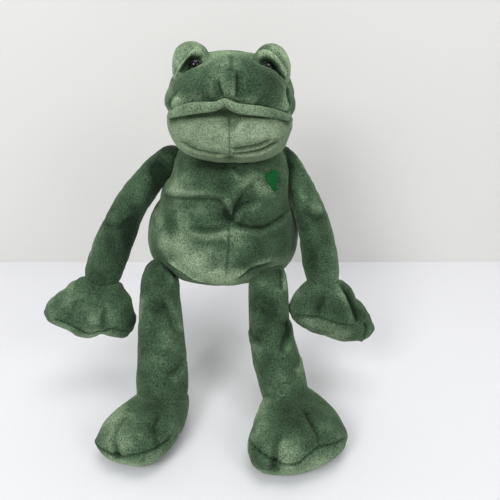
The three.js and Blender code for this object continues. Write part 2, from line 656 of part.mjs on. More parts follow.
function addHead() {
  const headForm = (inset, stations, sides) => inHead(puff({
    half: [HEAD_HALF_WIDTH - inset, HEAD_HALF_DEPTH - inset, HEAD_HALF_HEIGHT - inset],
    squareness: 2.3,
    stations,
    sides,
  }), 0, HEAD_BACK, HEAD_UP);
  const headBottom = new THREE.Vector3(0, HEAD_BACK, HEAD_UP).applyMatrix4(headFrame);
  const neckRoom = yoke(JOINT_GAP);
  const wallRoom = (extra) => yoke(JOINT_GAP + PLUSH_WALL + extra);
  const hollow = cut(headForm(PLUSH_WALL, 6, 10), wallRoom(0))
    .add(opening(headBottom, neck, 1.6 * SEAM_OPENING));
  addPiece('head', cut(headForm(0, 10, 14), neckRoom, hollow, ...eyeRooms(), ...washerRooms()), BODY_PLUSH);
  const fill = cut(headForm(PLUSH_WALL + SEAM_GAP, 6, 10), wallRoom(SEAM_GAP), ...washerRooms());
  addPiece('head_fill', fill, FIBRE_FILL);

  const grownHead = headForm(-SEAM_GAP, 10, 14);
  const chin = (grow) => inHead(puff({
    half: [CHIN_HALF_WIDTH + grow, CHIN_HALF_DEPTH + grow, CHIN_HALF_HEIGHT + grow],
    squareness: 2.4,
    stations: 10,
    sides: 14,
  }), 0, -CHIN_FORWARD, CHIN_UP);
  const snout = (grow) => inHead(puff({
    half: [SNOUT_HALF_WIDTH + grow, SNOUT_HALF_DEPTH + grow, SNOUT_BOTTOM + grow],
    up: SNOUT_TOP + grow,
    squareness: 2.2,
    droop: SNOUT_DROOP,
    stations: 10,
    sides: 14,
  }), 0, -SNOUT_FORWARD, SNOUT_UP);
  addPiece('chin', cut(chin(0), grownHead, neckRoom), FACE_PLUSH);
  addPiece('snout', cut(snout(0), grownHead, chin(SEAM_GAP), ...eyeRooms()), BODY_PLUSH);
  Object.keys(SIDES).forEach((side) => addEyeMound(side, grownHead, snout(SEAM_GAP)));
}

const eyePlaces = Object.fromEntries(Object.entries(SIDES).map(([side, sign]) => {
  const front = -EYE_MOUND_FORWARD - EYE_MOUND_HALF_DEPTH;
  return [side, { x: (sign * EYE_APART) / 2, y: front + EYE_BEAD_RADIUS - EYE_PROUD, z: EYE_UP }];
}));

// Bead with its flat back on the cloth, and its shank
function beadProfile(grow) {
  const dome = [];
  const steps = 4;
  for (let k = 0; k <= steps; k += 1) {
    const angle = (Math.PI / 2) * (k / steps);
    dome.push([(EYE_BEAD_RADIUS + grow) * Math.sin(angle), -(EYE_BEAD_RADIUS + grow) * Math.cos(angle)]);
  }
  const back = 1 + grow;
  return [...dome, [EYE_BEAD_RADIUS + grow, back], [EYE_SHANK_RADIUS + grow, back],
    [EYE_SHANK_RADIUS + grow, EYE_SHANK_LENGTH + grow], [0, EYE_SHANK_LENGTH + grow]];
}

// Washer behind the cloth, as a ring round the shank or grown to the room it needs
function washerProfile(grow) {
  const hole = grow ? 0 : EYE_SHANK_RADIUS + SEAM_GAP;
  const front = EYE_WASHER_DEPTH - grow;
  const back = EYE_WASHER_DEPTH + EYE_WASHER_THICKNESS + grow;
  const rim = EYE_WASHER_RADIUS + grow;
  const ring = [[hole, front], [rim, front], [rim, back], [hole, back]];
  return grow ? ring : [...ring, ring[0]];
}

const forEyes = (profile) => Object.values(eyePlaces).map((place) => turnedBack(profile, place));
const eyeRooms = () => forEyes(beadProfile(SEAM_GAP));
const washerRooms = () => forEyes(washerProfile(SEAM_GAP));

function addEyeMound(side, grownHead, grownSnout) {
  const mound = inHead(puff({
    half: [EYE_MOUND_HALF_WIDTH, EYE_MOUND_HALF_DEPTH, EYE_MOUND_HALF_HEIGHT],
    stations: 8,
    sides: 10,
  }), (SIDES[side] * EYE_MOUND_APART) / 2, -EYE_MOUND_FORWARD, EYE_MOUND_UP);
  const hollow = [...eyeRooms(), ...washerRooms()];
  addPiece(`eye_mound_${side}`, cut(mound, grownHead, grownSnout, ...hollow), BODY_PLUSH);
  addPiece(`eye_${side}`, turnedBack(beadProfile(0), eyePlaces[side]), EYE_PLASTIC);
  addPiece(`eye_washer_${side}`, turnedBack(washerProfile(0), eyePlaces[side]), WASHER_PLASTIC);
}

addTorso();
addHead();
for (const side of Object.keys(SIDES)) {
  addArm(side);
  addHand(side);
  addLeg(side);
  addFoot(side);
}

export default frog;
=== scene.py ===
"""A stuffed plush frog with long floppy limbs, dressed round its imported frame.

The frog's sizes are in millimetres until a helper turns them into metres, and its places are (x, y, z).
It faces -Y and its left side is on +X. The camera and the lamps are placed in metres.
"""

import math

import bpy
import numpy as np
from mathutils import Matrix, Vector
from mathutils.bvhtree import BVHTree


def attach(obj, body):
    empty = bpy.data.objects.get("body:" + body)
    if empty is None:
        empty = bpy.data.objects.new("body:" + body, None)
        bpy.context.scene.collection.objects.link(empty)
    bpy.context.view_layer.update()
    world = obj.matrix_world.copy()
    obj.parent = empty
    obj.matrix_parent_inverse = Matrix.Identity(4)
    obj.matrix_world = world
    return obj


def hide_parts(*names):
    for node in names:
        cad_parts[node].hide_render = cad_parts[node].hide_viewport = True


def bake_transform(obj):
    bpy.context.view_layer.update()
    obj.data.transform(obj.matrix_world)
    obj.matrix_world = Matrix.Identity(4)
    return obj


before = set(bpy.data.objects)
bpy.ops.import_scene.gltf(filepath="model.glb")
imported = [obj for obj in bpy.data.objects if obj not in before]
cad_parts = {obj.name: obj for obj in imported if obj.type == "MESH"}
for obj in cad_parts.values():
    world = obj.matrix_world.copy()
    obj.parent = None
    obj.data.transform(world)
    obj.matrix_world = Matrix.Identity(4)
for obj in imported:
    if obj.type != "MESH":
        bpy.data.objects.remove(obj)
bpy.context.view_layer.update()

MM = 0.001
FLOOR_HEIGHT = -97.5
BACKDROP_BACK = 196.6
STUDIO_AIM = (0, -0.02, 0.02)
UPRIGHT = (math.radians(90), 0, 0)
ACROSS = Vector((1, 0, 0))
UP = Vector((0, 0, 1))
SIDES = ("right", "left")
CLOTH_GRAIN = 3.4  # edge of the cloth's mesh before it is stuffed
FACE_GRAIN = 2.5  # the same for the small forms of the face
SEWING_PASSES = 6
STUFFING_FRAMES = 20
MOST_SWELL = 3
# strength of the nap_and_shade map: the pile's brushing, and the painted shade and painted highlights of
# folds and dents
NAP_AND_SHADE_STRENGTH = 1.35
CHALK_STEPS = 32
FOLD_REACH = 6  # in widths of a fold
RIDGE = (2.3, 1.7)  # where the lip of a fold lies and how far it spreads, in widths of the fold
HOLLOW = (-2.6, 2.4)  # the same of the hollow on the fold's other side
HOLLOW_DEPTH = 0.4  # share of the lip's height
HOLLOW_SHADE = 0.5
STITCH_PULL = 0.25


def add_camera():
    bpy.ops.object.camera_add(location=(0.025, -0.409, 0.225), rotation=(math.radians(63.3), 0, 0))
    camera = bpy.context.object
    camera.data.sensor_width = 36
    camera.data.lens = 37.08
    bpy.context.scene.camera = camera


def add_softbox(name, place, size, watts):
    toward = Vector(STUDIO_AIM) - Vector(place)
    turn = toward.to_track_quat("-Z", "Y").to_euler()
    bpy.ops.object.light_add(type="AREA", location=place, rotation=turn)
    lamp = bpy.context.object
    lamp.name = name
    lamp.data.shape = "RECTANGLE"
    lamp.data.size, lamp.data.size_y = size
    lamp.data.energy = watts


def light_studio():
    bpy.context.scene.view_settings.view_transform = "Standard"
    world = bpy.data.worlds.new("studio")
    bpy.context.scene.world = world
    world.use_nodes = True
    sky = world.node_tree.nodes["Background"]
    sky.inputs["Color"].default_value = (0.93, 0.95, 1, 1)
    sky.inputs["Strength"].default_value = 0.36
    add_softbox("window_left", (-0.55, -1.0, 0.85), (0.5, 0.56), 8.5)
    add_softbox("window_right", (0.8, -0.85, 0.75), (0.44, 0.5), 3.2)
    add_softbox("window_top", (0.1, -0.15, 1.25), (0.7, 0.6), 4.8)


def new_finish(name, roughness, specular):
    material = bpy.data.materials.new(name)
    material.use_nodes = True
    shader = material.node_tree.nodes["Principled BSDF"]
    shader.inputs["Roughness"].default_value = roughness
    shader.inputs["Specular IOR Level"].default_value = specular
    return material, material.node_tree, shader


def make_plain(name, colour, roughness, specular):
    material, _, shader = new_finish(name, roughness, specular)
    shader.inputs["Base Color"].default_value = (*colour, 1)
    return material


def lay_floor():
    bpy.ops.mesh.primitive_plane_add(size=1, location=(0, 0, FLOOR_HEIGHT * MM))
    floor = bpy.context.object
    floor.name = "floor"
    floor.scale = (6, 4, 1)
    bpy.ops.object.transform_apply(location=False, rotation=False, scale=True)
    floor.data.materials.append(make_plain("table_paper", (0.84, 0.84, 0.86), 0.9, 0.1))
    bpy.ops.mesh.primitive_plane_add(size=6, location=(0, BACKDROP_BACK * MM, 2), rotation=UPRIGHT)
    wall = bpy.context.object
    wall.name = "backdrop"
    wall.data.materials.append(make_plain("wall_paper", (0.82, 0.81, 0.78), 0.9, 0.1))


def new_group(name, inputs, outputs):
    group = bpy.data.node_groups.new(name, "ShaderNodeTree")
    for label, kind, value in inputs:
        socket = group.interface.new_socket(label, in_out="INPUT", socket_type=kind)
        socket.default_value = value
    for label, kind in outputs:
        group.interface.new_socket(label, in_out="OUTPUT", socket_type=kind)
    return group, group.nodes.new("NodeGroupInput"), group.nodes.new("NodeGroupOutput")


def feed(tree, socket, value):
    """Links a socket to the output that value is, or sets it to a plain value."""
    if isinstance(value, bpy.types.NodeSocket):
        tree.links.new(value, socket)
    elif value is not None:
        socket.default_value = value


def add_noise(tree, where, scale, detail, distortion=0.0):
    noise = tree.nodes.new("ShaderNodeTexNoise")
    noise.inputs["Scale"].default_value = scale
    noise.inputs["Detail"].default_value = detail
    noise.inputs["Distortion"].default_value = distortion
    tree.links.new(where, noise.inputs["Vector"])
    return noise.outputs["Fac"]


def add_sum(tree, kind, first, second, third=None):
    node = tree.nodes.new("ShaderNodeMath")
    node.operation = kind
    for socket, value in zip(node.inputs, (first, second, third)):
        feed(tree, socket, value)
    return node.outputs["Value"]


def add_mottle(tree, where, scale, detail, distortion=0.0):
    """Noise that swings about zero."""
    return add_sum(tree, "SUBTRACT", add_noise(tree, where, scale, detail, distortion), 0.5)


def add_mix(tree, share, first, second, kind="MIX"):
    """Mixes two colours. They are inputs 6 and 7 of the node, and the mixed colour is its output 2."""
    node = tree.nodes.new("ShaderNodeMix")
    node.data_type = "RGBA"
    node.blend_type = kind
    node.clamp_factor = True
    feed(tree, node.inputs[0], share)
    feed(tree, node.inputs[6], first)
    feed(tree, node.inputs[7], second)
    return node.outputs[2]


def add_bump(tree, shader, height, strength, distance):
    bump = tree.nodes.new("ShaderNodeBump")
    bump.inputs["Strength"].default_value = strength
    bump.inputs["Distance"].default_value = distance
    tree.links.new(height, bump.inputs["Height"])
    tree.links.new(bump.outputs["Normal"], shader.inputs["Normal"])


def make_pile_group():
    """Short plush pile: brushed patches, its tips, and the tone of the nap_and_shade map, which holds the
    pile's own brushing together with painted shade in folds, dents and gaps and painted highlights on fold
    lips.
    """
    group, given, result = new_group(
        "plush_pile",
        [
            ("Deep", "NodeSocketColor", (0.01, 0.03, 0.01, 1)),
            ("Cloth", "NodeSocketColor", (0.05, 0.1, 0.05, 1)),
            ("Brushed", "NodeSocketColor", (0.2, 0.3, 0.2, 1)),
            ("Patches", "NodeSocketFloat", 1.0),
            ("Grain", "NodeSocketFloat", 1.0),
        ],
        [("Color", "NodeSocketColor"), ("Height", "NodeSocketFloat")],
    )
    where = group.nodes.new("ShaderNodeTexCoord").outputs["Object"]
    nap_and_shade = group.nodes.new("ShaderNodeAttribute")
    nap_and_shade.attribute_name = "nap_and_shade"
    wide = add_mottle(group, where, 26, 1, 0.6)
    small = add_mottle(group, where, 85, 1, 0.4)
    tufts = add_mottle(group, where, 850, 0)
    hairs = add_mottle(group, where, 1700, 0)
    patches = add_sum(group, "MULTIPLY_ADD", small, 0.5, add_sum(group, "MULTIPLY", wide, 1.2))
    coarse = add_sum(group, "MULTIPLY", tufts, 0.5)
    fine = add_sum(group, "MULTIPLY", hairs, 0.6)
    grain = add_sum(group, "ADD", coarse, fine)
    # the nap_and_shade map: brushed pile, with painted shade in folds, dents and gaps and painted highlights
    # on fold lips
    nap_and_shade_tone = add_sum(group, "MULTIPLY", nap_and_shade.outputs["Fac"], NAP_AND_SHADE_STRENGTH)
    # tone below zero leans to Deep and above zero to Brushed; from the map this includes painted shade and
    # painted highlights
    tone = add_sum(group, "MULTIPLY_ADD", patches, given.outputs["Patches"], nap_and_shade_tone)
    lifted = add_mix(group, tone, given.outputs["Cloth"], given.outputs["Brushed"])
    sunk = add_sum(group, "MULTIPLY", tone, -1.0)
    shade = add_mix(group, sunk, lifted, given.outputs["Deep"])
    tips = add_sum(group, "MULTIPLY_ADD", grain, given.outputs["Grain"], 1.0)
    height = add_sum(group, "ADD", grain, add_sum(group, "MULTIPLY", small, 2.0))
    group.links.new(add_mix(group, 1.0, shade, tips, "MULTIPLY"), result.inputs["Color"])
    group.links.new(height, result.inputs["Height"])
    return group


def make_plush(name, pile, deep, cloth, brushed, patches=1.8, grain=2.8, sheen=0.65):
    material, tree, shader = new_finish(name, 0.95, 0.15)
    group = tree.nodes.new("ShaderNodeGroup")
    group.node_tree = pile
    group.inputs["Deep"].default_value = (*deep, 1)
    group.inputs["Cloth"].default_value = (*cloth, 1)
    group.inputs["Brushed"].default_value = (*brushed, 1)
    group.inputs["Patches"].default_value = patches
    group.inputs["Grain"].default_value = grain
    tree.links.new(group.outputs["Color"], shader.inputs["Base Color"])
    add_bump(tree, shader, group.outputs["Height"], 0.8, 0.0012)
    shader.inputs["Sheen Weight"].default_value = sheen
    shader.inputs["Sheen Roughness"].default_value = 0.4
    shader.inputs["Sheen Tint"].default_value = (*brushed, 1)
    return material


def pick(*pieces):
    if bpy.context.object and bpy.context.object.mode != "OBJECT":
        bpy.ops.object.mode_set(mode="OBJECT")
    bpy.ops.object.select_all(action="DESELECT")
    for piece in pieces:
        piece.select_set(True)
    if pieces:
        bpy.context.view_layer.objects.active = pieces[0]


def settle(piece):
    pick(piece)
    bpy.ops.object.transform_apply(location=True, rotation=True, scale=True)
    return piece


def finish_modifier(piece, kind, **settings):
    modifier = piece.modifiers.new(kind.lower(), kind)
    for label, value in settings.items():
        setattr(modifier, label, value)
    pick(piece)
    bpy.ops.object.modifier_apply(modifier=modifier.name)
    return piece


def lay_hoop(centre, across, along, half_width, half_depth):
    straight = along.normalized()
    side = (across - straight * across.dot(straight)).normalized()
    turn = Matrix((side, straight.cross(side), straight)).transposed().to_euler()
    pick()
    bpy.ops.mesh.primitive_circle_add(vertices=24, radius=MM, location=centre * MM, rotation=turn)
    hoop = bpy.context.object
    hoop.scale = (half_width, half_depth, 1)
    return hoop


def close_sleeve(hoops):
    """Bridges the hoops into one sleeve and sews its ends shut."""
    pick(*hoops)
    bpy.ops.object.join()
    sleeve = settle(bpy.context.object)
    bpy.ops.object.mode_set(mode="EDIT")
    bpy.ops.mesh.select_all(action="SELECT")
    bpy.ops.mesh.bridge_edge_loops()
    bpy.ops.mesh.select_all(action="SELECT")
    bpy.ops.mesh.fill_holes(sides=0)
    bpy.ops.mesh.select_all(action="SELECT")
    bpy.ops.mesh.normals_make_consistent(inside=False)
    bpy.ops.object.mode_set(mode="OBJECT")
    return finish_modifier(sleeve, "SUBSURF", levels=2, render_levels=2)


def limb_sleeve(hoops, across=ACROSS):
    """hoops are (x, y, z, half width, half depth) from the top of the limb to its end."""
    places = [Vector(hoop[:3]) for hoop in hoops]
    laid = []
    for k, (place, hoop) in enumerate(zip(places, hoops)):
        along = places[min(k + 1, len(places) - 1)] - places[max(k - 1, 0)]
        laid.append(lay_hoop(place, across, along, hoop[3], hoop[4]))
    return close_sleeve(laid)


def jaw_sleeve(hoops):
    """hoops are (x, crest y, crest z, lip y, lip z, half thickness) from one cheek to the other."""
    laid = []
    for x, crest_y, crest_z, lip_y, lip_z, thickness in hoops:
        crest, lip = Vector((x, crest_y, crest_z)), Vector((x, lip_y, lip_z))
        jaw = crest - lip
        laid.append(lay_hoop((crest + lip) / 2, jaw, ACROSS, jaw.length / 2, thickness))
    return close_sleeve(laid)


def body_sleeve(levels):
    """levels are (height, right edge, left edge, front edge, back edge)."""
    laid = []
    for height, right, left, front, back in levels:
        middle = Vector(((right + left) / 2, (front + back) / 2, height))
        laid.append(lay_hoop(middle, ACROSS, UP, (left - right) / 2, (back - front) / 2))
    return close_sleeve(laid)


def puff(centre, half, squareness=0.0, turn=(0, 0, 0)):
    """Round stuffed ball, pulled towards a cushion's shape by its squareness."""
    pick()
    bpy.ops.mesh.primitive_uv_sphere_add(segments=24, ring_count=16, radius=MM)
    ball = bpy.context.object
    if squareness:
        finish_modifier(ball, "CAST", cast_type="CUBOID", factor=squareness)
    ball.scale = half
    ball.rotation_euler = [math.radians(angle) for angle in turn]
    ball.location = Vector(centre) * MM
    return settle(ball)


def cut_slab(places, thickness):
    """Flat shape with its corners at places, pulled out by the vector thickness."""
    pick()
    bpy.ops.mesh.primitive_circle_add(vertices=len(places), radius=MM, fill_type="NGON")
    slab = bpy.context.object
    for vertex, place in zip(slab.data.vertices, places):
        vertex.co = place * MM
    bpy.ops.object.mode_set(mode="EDIT")
    bpy.ops.mesh.select_all(action="SELECT")
    bpy.ops.mesh.extrude_region_move(TRANSFORM_OT_translate={"value": thickness * MM})
    bpy.ops.mesh.select_all(action="SELECT")
    bpy.ops.mesh.normals_make_consistent(inside=False)
    bpy.ops.object.mode_set(mode="OBJECT")
    return slab


def paddle_axes(across, along):
    """Directions to the side of a paddle, along it and through it."""
    straight = along.normalized()
    side = (across - straight * across.dot(straight)).normalized()
    return side, straight, side.cross(straight)


def cut_paddle(outline, origin, across, along):
    """Thin slab cut to an outline given as (across, along). crown_paddle fills it out later."""
    side, straight, through = paddle_axes(across, along)
    places = [
        origin + side * aside + straight * down - through * PADDLE_CORE / 2 for aside, down in outline
    ]
    return cut_slab(places, through * PADDLE_CORE)


def crown_paddle(case, outline, origin, across, along, half_thickness, rounding):
    """Pushes both faces of a slab out to a pillow that rounds off towards its edge."""
    side, straight, through = paddle_axes(across, along)
    places = places_of(case)
    flat = np.column_stack([(places - origin) @ side, (places - origin) @ straight])
    height = (places - origin) @ through
    corners = np.array(outline, float)
    rim = np.full(len(flat), np.inf)
    for start, end in zip(corners, np.roll(corners, -1, axis=0)):
        edge = end - start
        share = np.clip(((flat - start) @ edge) / (edge @ edge), 0, 1)
        rim = np.minimum(rim, np.linalg.norm(flat - start - share[:, None] * edge, axis=1))
    inward = np.clip(rim / rounding, 0, 1)
    crown = half_thickness * np.sqrt(1 - (1 - inward) ** 2)
    level = np.clip(height / (PADDLE_CORE / 2), -1, 1)
    off_the_rim = inward > 0.02
    places += np.outer(level * crown - height * off_the_rim, through)
    move_cloth(case, places)
    return finish_modifier(case, "SMOOTH", factor=0.5, iterations=8)


def sew_together(name, *pieces, grain=CLOTH_GRAIN):
    """Joins closed shapes into one case of even cloth."""
    pick(*pieces)
    if len(pieces) > 1:
        bpy.ops.object.join()
    case = bpy.context.object
    case.name = name
    finish_modifier(case, "REMESH", mode="VOXEL", voxel_size=grain * MM)
    return finish_modifier(case, "SMOOTH", factor=0.5, iterations=SEWING_PASSES)


def places_of(piece):
    flat = np.empty(len(piece.data.vertices) * 3)
    piece.data.vertices.foreach_get("co", flat)
    return flat.reshape(-1, 3) / MM


def facing_of(piece):
    flat = np.empty(len(piece.data.vertices) * 3)
    piece.data.vertices.foreach_get("normal", flat)
    return flat.reshape(-1, 3)


def move_cloth(piece, places):
    piece.data.vertices.foreach_set("co", (places * MM).ravel())
    piece.data.update()


def smooth(piece):
    pick(piece)
    bpy.ops.object.shade_smooth()
    return piece


def stuff(cases):
    """Fills every case at once with soft pressure. No part of the cloth swells by more than MOST_SWELL."""
    before = {case: places_of(case) for case in cases}
    for case in cases:
        cloth = case.modifiers.new("stuffing", "CLOTH").settings
        cloth.quality = 4
        cloth.mass = 0.002
        cloth.tension_stiffness = 5
        cloth.compression_stiffness = 5
        cloth.shear_stiffness = 2
        cloth.bending_stiffness = 0.02
        cloth.shrink_min = -0.06
        cloth.use_pressure = True
        cloth.uniform_pressure_force = 4
        cloth.effector_weights.gravity = 0
    scene = bpy.context.scene
    scene.frame_start, scene.frame_end = 1, STUFFING_FRAMES
    for step in range(1, STUFFING_FRAMES + 1):
        scene.frame_set(step)
    for case in cases:
        pick(case)
        bpy.ops.object.modifier_apply(modifier="stuffing")
        moved = places_of(case) - before[case]
        reach = np.linalg.norm(moved, axis=1, keepdims=True)
        move_cloth(case, before[case] + moved * np.minimum(1, MOST_SWELL / np.maximum(reach, 1e-6)))
    scene.frame_set(1)


def refine(case, levels):
    if levels:
        finish_modifier(case, "SUBSURF", levels=levels, render_levels=levels)
    case.data.attributes.new("nap_and_shade", "FLOAT", "POINT")
    smooth(case)


def add_nap_and_shade(case, tone):
    """Adds tone to the pile's nap_and_shade map: below zero darkens it, above zero makes it paler. The map
    holds the pile's own brushing as well as painted shade in folds, dents and gaps between parts, and
    painted highlights on fold lips.
    """
    nap_and_shade = np.empty(len(case.data.vertices), np.float32)
    case.data.attributes["nap_and_shade"].data.foreach_get("value", nap_and_shade)
    case.data.attributes["nap_and_shade"].data.foreach_set("value", (nap_and_shade + tone).astype(np.float32))


def curve_place(before, start, end, after, t):
    """Place at share t of the span from start to end, on the smooth curve through all four."""
    bend = 2 * before - 5 * start + 4 * end - after
    twist = 3 * start - 3 * end + after - before
    return 0.5 * (2 * start + (end - before) * t + bend * t**2 + twist * t**3)


def chalk_line(case, points):
    """Smooth line through a few points, laid on the cloth."""
    corners = np.array(points, float)
    padded = np.vstack([2 * corners[0] - corners[1], corners, 2 * corners[-1] - corners[-2]])
    spans = len(corners) - 1
    line = []
    for step in range(CHALK_STEPS + 1):
        passed = step * spans / CHALK_STEPS
        span = min(int(passed), spans - 1)
        line.append(curve_place(*padded[span : span + 4], passed - span))
    knots = [vertex.co / MM for vertex in case.data.vertices]
    surface = BVHTree.FromPolygons(knots, [face.vertices for face in case.data.polygons])
    return np.array([surface.find_nearest(Vector(place))[0] for place in line])


def measure_from(case, line):
    """For each point of the cloth: distance from the line, how far to its left, and share of its length."""
    places, facing = places_of(case), facing_of(case)
    best = np.full(len(places), np.inf)
    aside = np.zeros(len(places))
    share = np.zeros(len(places))
    for k, (start, end) in enumerate(zip(line, line[1:])):
        along = end - start
        if not along.any():
            continue
        t = np.clip(((places - start) @ along) / (along @ along), 0, 1)
        offset = places - start - t[:, None] * along
        distance = np.linalg.norm(offset, axis=1)
        nearer = distance < best
        best[nearer] = distance[nearer]
        side = np.einsum("ij,ij->i", offset, np.cross(facing, along / np.linalg.norm(along)))
        aside[nearer] = side[nearer]
        share[nearer] = (k + t[nearer]) / (len(line) - 1)
    return best, aside, share


def swell(side, width, place, spread):
    return np.exp(-(((side - place * width) / (spread * width)) ** 2))


def press_fold(case, points, width, depth, lip=0.0, shade=0.5, fade=0.2, lip_highlight=0.3, stitches=0):
    """Presses a fold along a chalk line, with a raised lip and a shallow hollow beyond its other side.

    lip raises the cloth on the line's left, or on its right below 0. Both lie a few widths from the line.
    The pile is darkened in the valley and the hollow by shade, as painted shade, and paled on the lip by
    lip_highlight, as a painted highlight.
    """
    distance, aside, share = measure_from(case, chalk_line(case, points))
    ends = np.clip(share / fade, 0, 1) * np.clip((1 - share) / fade, 0, 1)
    ends = np.sin(ends * math.pi / 2)
    ends = ends * (1 - STITCH_PULL + STITCH_PULL * np.cos(2 * math.pi * stitches * share))
    valley = np.exp(-((distance / width) ** 2)) * ends
    side = aside * np.sign(lip or 1)
    near = np.exp(-((distance / (FOLD_REACH * width)) ** 4)) * ends * bool(lip)
    ridge = swell(side, width, *RIDGE) * near
    hollow = swell(side, width, *HOLLOW) * near
    rise = abs(lip) * (ridge - HOLLOW_DEPTH * hollow) - depth * valley
    move_cloth(case, places_of(case) + facing_of(case) * rise[:, None])
    # painted shade in the fold's valley and hollow, and a painted highlight on its lip
    add_nap_and_shade(case, lip_highlight * ridge - HOLLOW_SHADE * shade * hollow - shade * valley)


def plump(case, centre, reach, height, nap_and_shade=0.0):
    """Raises or sinks a soft round area of the cloth and tones its pile by nap_and_shade. Where it sinks and
    darkens, the darkening is painted shade in the dent; where it rises and pales, the paler pile is a
    painted highlight.
    """
    away = np.linalg.norm((places_of(case) - np.array(centre)) / np.array(reach), axis=1)
    bump = np.exp(-(away**2))
    move_cloth(case, places_of(case) + facing_of(case) * (height * bump)[:, None])
    add_nap_and_shade(case, nap_and_shade * bump)


def brush(case, centre, reach, nap_and_shade):
    """Tones the pile of a soft round area paler, or darker below zero. Mostly it is the pile's own brushing;
    where noted at a call, it is painted shade.
    """
    plump(case, centre, reach, 0, nap_and_shade)


def crease_torso(cloth):
    across_chest_right = [
        (-47, -18, 78), (-30, -33, 81.5), (-13, -39, 83), (1, -41, 83), (5.5, -42, 77), (9, -45, 66),
    ]
    press_fold(cloth, across_chest_right, 1.8, 2, lip=1.7, shade=0.4, fade=0.12, lip_highlight=0.12)
    under_chest_right = [(10, -45, 65), (2, -46.5, 61.5), (-9, -46.5, 60), (-24, -43, 61)]
    press_fold(cloth, under_chest_right, 2.2, 2.2, lip=2.2, shade=0.45, lip_highlight=0.2)
    across_chest_left = [(10, -44, 66), (13.5, -43, 73), (19, -41, 78), (33, -36, 81)]
    press_fold(cloth, across_chest_left, 1.8, 2.4, lip=-2.4, shade=0.55, lip_highlight=0.2)
    under_chest_left = [
        (12, -44.5, 66), (18, -45, 63), (26, -43.5, 60.5), (35, -40.5, 59.5), (47, -32, 62), (58, -16, 66),
    ]
    press_fold(cloth, under_chest_left, 2, 2.2, lip=-2, shade=0.5, lip_highlight=0.2)
    down_from_heart = [(35, -29, 98), (24, -37, 90), (17.5, -40, 83), (12, -43, 73)]
    press_fold(cloth, down_from_heart, 2.4, 1.4, lip=-1.8, shade=0.25, lip_highlight=0.15)
    under_neck = [(11, -35, 109), (15, -33, 104), (20, -34, 99)]
    press_fold(cloth, under_neck, 1.5, 1.2, lip=-1.3, shade=0.3, lip_highlight=0.12)
    centre_seam = [(8.8, -46, 62), (8, -50, 45), (6.5, -50, 28), (5.3, -44, 12)]
    press_fold(cloth, centre_seam, 0.8, 1, shade=0.4, fade=0.08)
    over_leg_right = [(-42, -35, 27), (-31, -41, 20), (-23, -41, 13), (-12, -40, 8.5)]
    press_fold(cloth, over_leg_right, 1.5, 1.6, lip=1.6, shade=0.5)
    over_leg_left = [(10, -44, 12.5), (19, -46, 19), (28, -46, 26), (44, -38, 28)]
    press_fold(cloth, over_leg_left, 1.5, 1.6, lip=1.6, shade=0.5)
    # the darkening in the hollow below the chest fold and in the navel pucker is painted shade
    plump(cloth, (-6, -43, 70), (20, 14, 8), -1.4, -0.35)
    plump(cloth, (28, -39, 71), (12, 12, 6), 2.2, 0.05)
    plump(cloth, (-30, -33, 92), (13, 14, 11), 1.2, 0.15)
    plump(cloth, (10, -43, 66), (4.5, 8, 4.5), -1.8, -0.3)
    brush(cloth, (-38, -36, 66), (12, 14, 12), -0.2)
    brush(cloth, (-38, -40, 46), (14, 18, 9), 0.45)
    brush(cloth, (-20, -46, 34), (15, 12, 12), 0.75)
    brush(cloth, (-4, -44, 18), (16, 12, 11), 0.85)
    brush(cloth, (14, -44, 14), (12, 12, 5), 0.25)
    brush(cloth, (22, -47, 34), (15, 14, 12), -0.45)
    brush(cloth, (52, -36, 34), (10, 14, 12), -0.2)
    # painted shade at the torso's bottom corners, in the gaps above the legs
    brush(cloth, (-46, -30, 12), (10, 14, 6), -0.5)
    brush(cloth, (42, -36, 12), (12, 14, 5), -0.5)
    # painted shade on the chest under the chin
    brush(cloth, (8, -32, 107), (36, 16, 5), -0.7)
    brush(cloth, (-37, -26, 97), (6, 14, 16), 0.4)
    brush(cloth, (-50, -26, 62), (8, 14, 14), 0.25)
    brush(cloth, (30, -42, 46), (22, 20, 11), -0.25)
    brush(cloth, (-46, -34, 32), (10, 14, 9), -0.25)
    brush(cloth, (6, -38, 93), (13, 12, 8), -0.2)
    # painted shade on the torso's side where the left arm hangs against it
    brush(cloth, (52, -22, 92), (8, 12, 16), -0.3)
    plump(cloth, HEART_MIDDLE, (8, 9, 11), -0.8, -0.15)
    # dents by the leg tops, their darkening painted shade
    plump(cloth, (-44, -25, 9), (9, 9, 8), -2.5, -0.2)
    plump(cloth, (39, -28, 12), (9, 9, 8), -7.5, -0.2)
    plump(cloth, (36, -22, 6), (10, 8, 8), -5, -0.2)
    plump(cloth, (35, -36, 16), (7, 8, 6), -2, -0.15)


